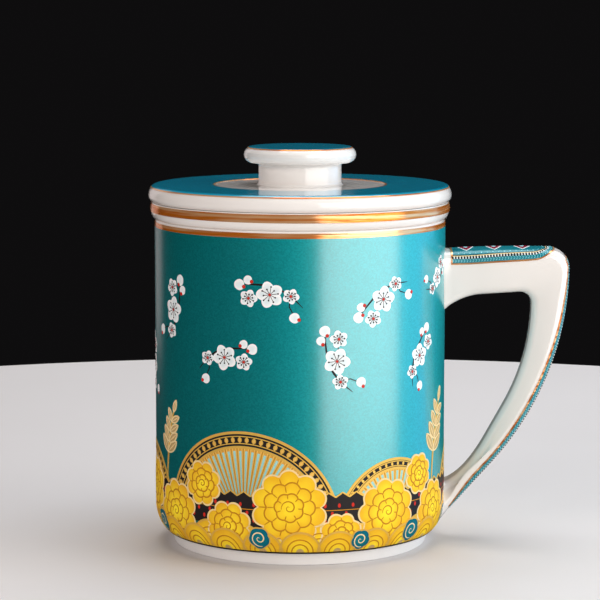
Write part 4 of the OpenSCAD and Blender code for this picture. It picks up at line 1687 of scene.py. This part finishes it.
class Motifs(Stencil):
    """Stencil with the print's motifs, each on levels of its own.

    Fans and sprigs start on level 0. Where others start has a name here.
    """

    SPRAY = 6
    BORDER = 6
    BACK_WAVE = 7
    HEAD = 8
    FRONT_WAVE = 17
    HEEL_LINE = 19
    SWIRL = 19

    def fan(self, at: Point, radius: float, spread: float, lean: float) -> None:
        """Print a folding fan.

        Args:
            at: Its pivot.
            radius: Its radius.
            spread: How wide it is open, in degrees.
            lean: How far it leans to the right, in degrees.
        """
        low, high = lean - spread / 2, lean + spread / 2
        folds = round(spread * radius / 130)
        step = spread / folds
        leaf = (0.30 * radius, 0.86 * radius)
        self.sector(Ink.GOLD, 0, at, (0.10 * radius, 0.30 * radius), (low + 4, high - 4),
                    (0.0, 0.4))
        self.sector(Ink.OCHRE, 1, at, leaf, (low, high), (0.1, 0.9))
        for k in range(folds):
            turn = low + step * (k + 0.5)
            self.sector(Ink.AQUA, 2, at, (0.36 * radius, 0.81 * radius),
                        (turn - step * 0.2, turn + step * 0.2), (0.2, 1.0))
            for side in (-1, 1):
                edge = turn + side * step * 0.29
                self.sector(Ink.GOLD, 2, at, (0.33 * radius, 0.84 * radius),
                            (edge - step * 0.06, edge + step * 0.06), (0.5, 1.0))
            self.sector(Ink.AMBER, 2, at, leaf, (turn + step * 0.45, turn + step * 0.55),
                        (0.2, 0.8))
            self.blob(Ink.GOLD, 4, beside(at, 0.925 * radius, math.radians(90 - turn)),
                      petal(0.075 * radius, 0.05 * radius, 90 - turn, 0.9), 0.035 * radius, 0.4)
        self.sector(Ink.BLACK, 3, at, (0.865 * radius, 0.985 * radius), (low - 0.5, high + 0.5))
        for share, wide in ((0.85, 0.7), (0.888, 0.28), (0.962, 0.28), (1.0, 0.75)):
            self.arc(Ink.GOLD, 4, at, share * radius, (low - 0.6, high + 0.6), wide)
        for turn in (low, high):
            out = Vector((math.sin(math.radians(turn)), math.cos(math.radians(turn))))
            for ink, level, share, wide in ((Ink.BLACK, 4, 1.0, 1.3), (Ink.GOLD, 5, 1.01, 0.6)):
                rib = tuple(Vector(at) + out * radius * share)
                self.line(ink, level, [at, rib], wide)

    def head(self, at: Point, radius: float, petals: int) -> None:
        """Print a yellow flower head in three whorls.

        Args:
            at: Its centre.
            radius: Its radius.
            petals: Petals in the outer whorl.
        """
        self.blob(Ink.CREAM, self.HEAD, at, scallops(radius + 0.55, petals, 0.17), radius, 0.3)
        whorls = ((1.0, petals, 0.18, 0.0), (0.70, petals - 1, 0.16, 0.35),
                  (0.40, petals - 3, 0.14, 0.8))
        for k, (share, count, depth, turn) in enumerate(whorls):
            level, size = self.HEAD + 1 + 2 * k, radius * share
            outline = scallops(size, count, depth, turn)
            self.blob(Ink.YELLOW, level, at, outline, size, 0.15 + 0.1 * k, 0.9)
            if k:
                self.outline(Ink.AMBER, level + 1, at, outline, 0.42)
            for n in range(count):
                angle = 2 * math.pi * n / count + turn
                out = Vector((math.cos(angle), math.sin(angle)))
                vein = [tuple(Vector(at) + out * size * far) for far in (0.60, 1 - depth)]
                self.line(Ink.AMBER, level + 1, vein, 0.34, taper=0.5)
        self.coil(Ink.AMBER, self.HEAD + 7, at, radius * 0.022, (0.9, 0.25), 0.6)

    def swirl(self, at: Point, size: float) -> None:
        """Print a small teal swirl with a gold line.

        Args:
            at: Its centre.
            size: Its radius.
        """
        self.blob(Ink.GOLD, self.SWIRL, at, scallops(size + 0.4, 5, 0.12, 0.3), size, 0.6)
        self.blob(Ink.TEAL, self.SWIRL + 1, at, scallops(size, 5, 0.12, 0.3), size, 0.2)
        self.coil(Ink.CREAM, self.SWIRL + 2, at, size * 0.07, (0.8, 0.3), 0.5)

    def spray(self, at: Point, tall: float, lean: float) -> None:
        """Print a spray of golden leaves.

        Args:
            at: Foot of its stem.
            tall: Its height.
            lean: How far its tip bends to the right.
        """
        def stem(part: float) -> Point:
            """Point of the stem at a share of its length."""
            return at[0] + lean * part ** 1.7, at[1] + tall * part
        self.line(Ink.GOLD, self.SPRAY, [stem(k / 12) for k in range(13)], 0.8, taper=0.3)
        pairs = 5
        for k in range(1, pairs + 1):
            part = 0.22 + 0.78 * k / pairs
            size = tall * 0.30 * (1.25 - 0.6 * part)
            for side in ((-1, 1) if k < pairs else (0,)):
                turn = 90 - 22 * part * (1 if lean > 0 else -1) - side * 46
                root = stem(part)
                middle, tip = (beside(root, far, math.radians(turn)) for far in (size / 2, size))
                leaf = petal(size, size * 0.42, turn, 0.45)
                self.blob(Ink.BEIGE, self.SPRAY, middle, leaf, size / 2, 0.15)
                self.outline(Ink.CREAM, self.SPRAY + 1, middle, leaf, 0.42)
                self.line(Ink.CREAM, self.SPRAY + 1, [root, tip], 0.3, taper=0.6)

    def flower(self, at: Point, radius: float, turn: float, opened: float) -> None:
        """Print a white blossom of five petals.

        Args:
            at: Its centre.
            radius: Its radius.
            turn: How far it is turned, in degrees.
            opened: Its height against its width, less than 1 as seen from the side.
        """
        for k in range(5):
            angle = turn + 72 * k
            reach = petal(radius, radius * 0.86, angle, 0.12)
            middle = beside(at, radius * 0.52, math.radians(angle), opened)
            self.blob(Ink.WHITE, 1 + k % 2, middle, reach, radius * 0.5, 1.0, 0.55)
        for k in range(10):
            angle = math.radians(turn + 36 * k + 10)
            far = radius * (0.62 if k % 2 else 0.46)
            tip = beside(at, far, angle, opened)
            self.line(Ink.BLACK, 3, [at, tip], 0.17)
            self.blob(Ink.BLACK, 4, tip, scallops(0.24, 4, 0.0), 0.24)
        self.blob(Ink.RED, 5, at, scallops(0.42, 5, 0.1), 0.42)

    def sprig(self, at: Point, size: float, turn: float, flip: int) -> None:
        """Print a twig with blossoms and buds.

        Args:
            at: Its middle.
            size: Its length.
            turn: Direction that it grows in, in degrees.
            flip: 1 or -1, the side that it bends to.
        """
        along = Vector((math.cos(math.radians(turn)), math.sin(math.radians(turn))))
        across = Vector((-along.y, along.x)) * flip

        def spot(run: float, off: float) -> Point:
            """Point beside the twig, as shares of its size."""
            place = Vector(at) + along * (size * run) + across * (size * off)
            return place.x, place.y
        main = [(-0.5 + k / 10, -0.16 * math.cos(3.0 * (k / 10 - 0.45))) for k in range(11)]
        for places, wide, taper in (
                (main, 0.62, 0.75), (((-0.08, -0.155), (0.08, 0.02), (0.30, 0.13)), 0.36, 0.6),
                (((-0.28, -0.12), (-0.30, 0.02), (-0.42, 0.12)), 0.32, 0.6)):
            self.line(Ink.BLACK, 0, [spot(*place) for place in places], wide, taper=taper)
        for run, off, share, more, opened in (
                (0.03, -0.03, 0.205, 20, 0.94), (0.31, 0.15, 0.14, -15, 0.9),
                (-0.27, -0.13, 0.125, 50, 0.86)):
            self.flower(spot(run, off), size * share, turn + more, opened)
        for run, off, wide in ((0.52, 0.02, 0.085), (-0.44, 0.15, 0.08), (0.42, -0.10, 0.07)):
            self.blob(Ink.WHITE, 1, spot(run, off), scallops(size * wide, 3, 0.08), size * wide,
                      0.9, 0.6)
            self.blob(Ink.RED, 2, spot(run - wide * 0.9, off), scallops(size * 0.028, 4, 0.0),
                      size * 0.028)


@dataclass
class SidePrint:
    """The print on the mug's side: fans and flower heads below, white blossom sprigs above.

    Places are (distance along the side from the front, height) in millimetres.

    Attributes:
        side: The profile that it follows.
        fans: Place, radius, spread and lean of each fan.
        sprays: Place, height and lean of each spray.
        heads: Place, radius and petals of each flower head.
        swirls: Place and size of each small swirl.
        sprigs: Place, size and direction in degrees of each blossom sprig.
        sides: How many times fans, flowers and sprigs show round the mug.
        waves: Number of waves round the foot.
        wave_sizes: Height over the foot and share of a wave's width, of back and front waves.
        teeth: Number of teeth in the dark border.
        border_z: Height of the border's lower edge.
        border_h: Height of the border up to its teeth.
        tooth_h: Height of a tooth.
        beads: Shift in half teeth and height of each bead.
        bead_line_z: Height of the line between the beads.
        heel_line_z: Height of the dark line round the foot.
    """

    side: MugSide = field(default_factory=MugSide)
    fans: tuple[tuple[Point, float, float, float], ...] = (
        ((-61.6, 12.0), 18.0, 140.0, 0.0), ((-16.0, 11.0), 27.0, 154.0, 0.0),
        ((28.5, 12.0), 17.5, 142.0, 4.0))
    sprays: tuple[tuple[Point, float, float], ...] = (
        ((46.0, 21.0), 22.0, 5.0), ((-46.5, 22.0), 19.0, 4.0))
    heads: tuple[tuple[Point, float, int], ...] = (
        ((-57.5, 17.5), 8.2, 8), ((-41.0, 13.0), 8.6, 9), ((-29.5, 22.5), 6.1, 8),
        ((-20.8, 11.3), 6.8, 8), ((-3.0, 17.5), 10.3, 10), ((11.5, 9.6), 5.8, 8),
        ((26.0, 15.0), 9.1, 9), ((38.5, 24.0), 5.5, 8), ((46.5, 12.5), 8.3, 9),
        ((60.5, 9.5), 5.5, 8))
    swirls: tuple[tuple[Point, float], ...] = (
        ((-50.5, 8.5), 3.2), ((-11.5, 8.6), 3.0), ((17.5, 7.8), 2.8), ((35.5, 8.4), 3.2),
        ((57.5, 9.0), 3.0))
    sprigs: tuple[tuple[Point, float, float], ...] = (
        ((-43.0, 70.0), 19.0, 62.0), ((-22.0, 58.0), 18.0, 24.0), ((-8.0, 76.0), 18.5, 158.0),
        ((11.0, 58.0), 18.5, 118.0), ((25.0, 74.5), 18.5, 205.0), ((39.0, 57.0), 17.0, 70.0),
        ((49.0, 79.0), 15.0, 20.0), ((-60.0, 52.0), 17.0, 110.0))
    sides: int = 2
    waves: int = 24
    wave_sizes: tuple[Point, Point] = ((6.2, 0.56), (4.7, 0.53))
    teeth: int = 66
    border_z: float = 11.5
    border_h: float = 8.6
    tooth_h: float = 1.3
    beads: tuple[Point, ...] = ((0.0, 17.9), (1.0, 15.6), (0.0, 13.6))
    bead_line_z: float = 16.6
    heel_line_z: float = 4.5

    def scene_unit(self) -> Motifs:
        """Lay out the part of the print that repeats on the back.

        Returns:
            The flat print.
        """
        art = Motifs()
        for places, draw in ((self.fans, art.fan), (self.sprays, art.spray),
                             (self.heads, art.head), (self.swirls, art.swirl)):
            for place in places:
                draw(*place)
        for k, (at, size, turn) in enumerate(self.sprigs):
            art.sprig(at, size, turn, -1 if k % 2 else 1)
        return art

    def border_unit(self) -> Motifs:
        """Lay out one tooth of the dark border with its beads.

        Returns:
            The flat print.
        """
        art, steps = Motifs(), 12
        wide = self.side.around / self.teeth
        tooth = [(wide * (k / 6 - 0.5), self.tooth_h * (1 - abs(k / 3 - 1))) for k in range(7)]
        rows = [[(x, self.border_z + (self.border_h + rise) * step / steps) for x, rise in tooth]
                for step in range(steps + 1)]
        art.patch(Ink.BLACK, art.BORDER, rows, [1.0] * len(rows))
        trim_z = self.border_z + self.border_h + 0.15
        art.line(Ink.GOLD, art.BORDER + 1, [(x, trim_z + rise) for x, rise in tooth], 0.4)
        for shift, z in self.beads:
            art.blob(Ink.RED, art.BORDER + 1, (wide / 2 * shift - wide / 4, z),
                     petal(1.25, 0.85, 90.0), 0.6, 0.3)
        ends = [(wide / 2 * way, self.bead_line_z) for way in (-1, 1)]
        art.line(Ink.AMBER, art.BORDER + 1, ends, 0.22)
        return art

    def wave_unit(self) -> Motifs:
        """Lay out one wave of the foot border.

        Returns:
            The flat print.
        """
        art, half_turn = Motifs(), (-90, 90)
        wide = self.side.around / self.waves
        for level, x, (z, share) in zip((art.BACK_WAVE, art.FRONT_WAVE), (wide / 2, 0.0),
                                        self.wave_sizes):
            at, radius = (x, z), wide * share
            art.sector(Ink.YELLOW, level, at, (radius * 0.2, radius), half_turn, (0.75, 0.1))
            art.sector(Ink.BEIGE, level, at, (0.05, radius * 0.2), half_turn)
            for part in (0.42, 0.66):
                art.arc(Ink.AMBER, level + 1, at, radius * part, half_turn, 0.36)
            art.arc(Ink.GOLD, level + 1, at, radius, half_turn, 0.55)
        ends = [(wide / 2 * way, self.heel_line_z) for way in (-1, 1)]
        art.line(Ink.BLACK, art.HEEL_LINE, ends, 0.5)
        return art

    def build(self) -> None:
        """Wrap all the print on the mug's side."""
        tree = WrapTree()
        for label, art, copies in (("scene", self.scene_unit(), self.sides),
                                   ("border", self.border_unit(), self.teeth),
                                   ("waves", self.wave_unit(), self.waves)):
            for ink, form in art.forms.items():
                if form.faces:
                    tree.run(self.side, form, f"{label}_{ink.name.lower()}", ink, copies)


# ---------- mug, infuser and lid ----------


@dataclass(frozen=True)
class TurnedGroup:
    """Turned pieces of one body that keep their solids.

    Attributes:
        body: The body that they move with.
        nodes: Their names.
    """

    body: Body
    nodes: tuple[str, ...]

    def build(self) -> None:
        """Give every solid of the group its finish."""
        for node in self.nodes:
            mesh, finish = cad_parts[node].data, CAD_FINISHES[node]
            mesh.materials.clear()
            mesh.materials.append(finish.material())
            LOG.info("%s: solid of the %s, %s", node, self.body.value, finish.name)


MUG = TurnedGroup(Body.MUG, ("mug_body", "foot_ring", "mug_colour_ground", "mug_gold_band",
                             "heel_line"))
INFUSER = TurnedGroup(Body.INFUSER, ("infuser_collar", "infuser_wall", "strainer_floor",
                                     "collar_gold_band"))
LID = TurnedGroup(Body.LID, ("lid_plate", "lid_locating_ring", "knob_stem", "knob_cap",
                             "lid_colour_ground", "lid_edge_gold_line", "lid_inner_gold_line",
                             "knob_colour_disc", "knob_gold_line"))


def corners() -> list[list[float]]:
    """Lowest and highest corner of all that is shown, as plain numbers."""
    return [list(corner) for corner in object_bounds()]


def main() -> None:
    """Build the studio and every part of the mug."""
    logging.basicConfig(level=logging.INFO, format="%(name)s %(message)s")
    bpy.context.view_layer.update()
    Studio().build()
    for part in (MUG, INFUSER, LID, Handle(), SidePrint()):
        part.build()
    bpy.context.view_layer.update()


if __name__ == "__main__":
    main()
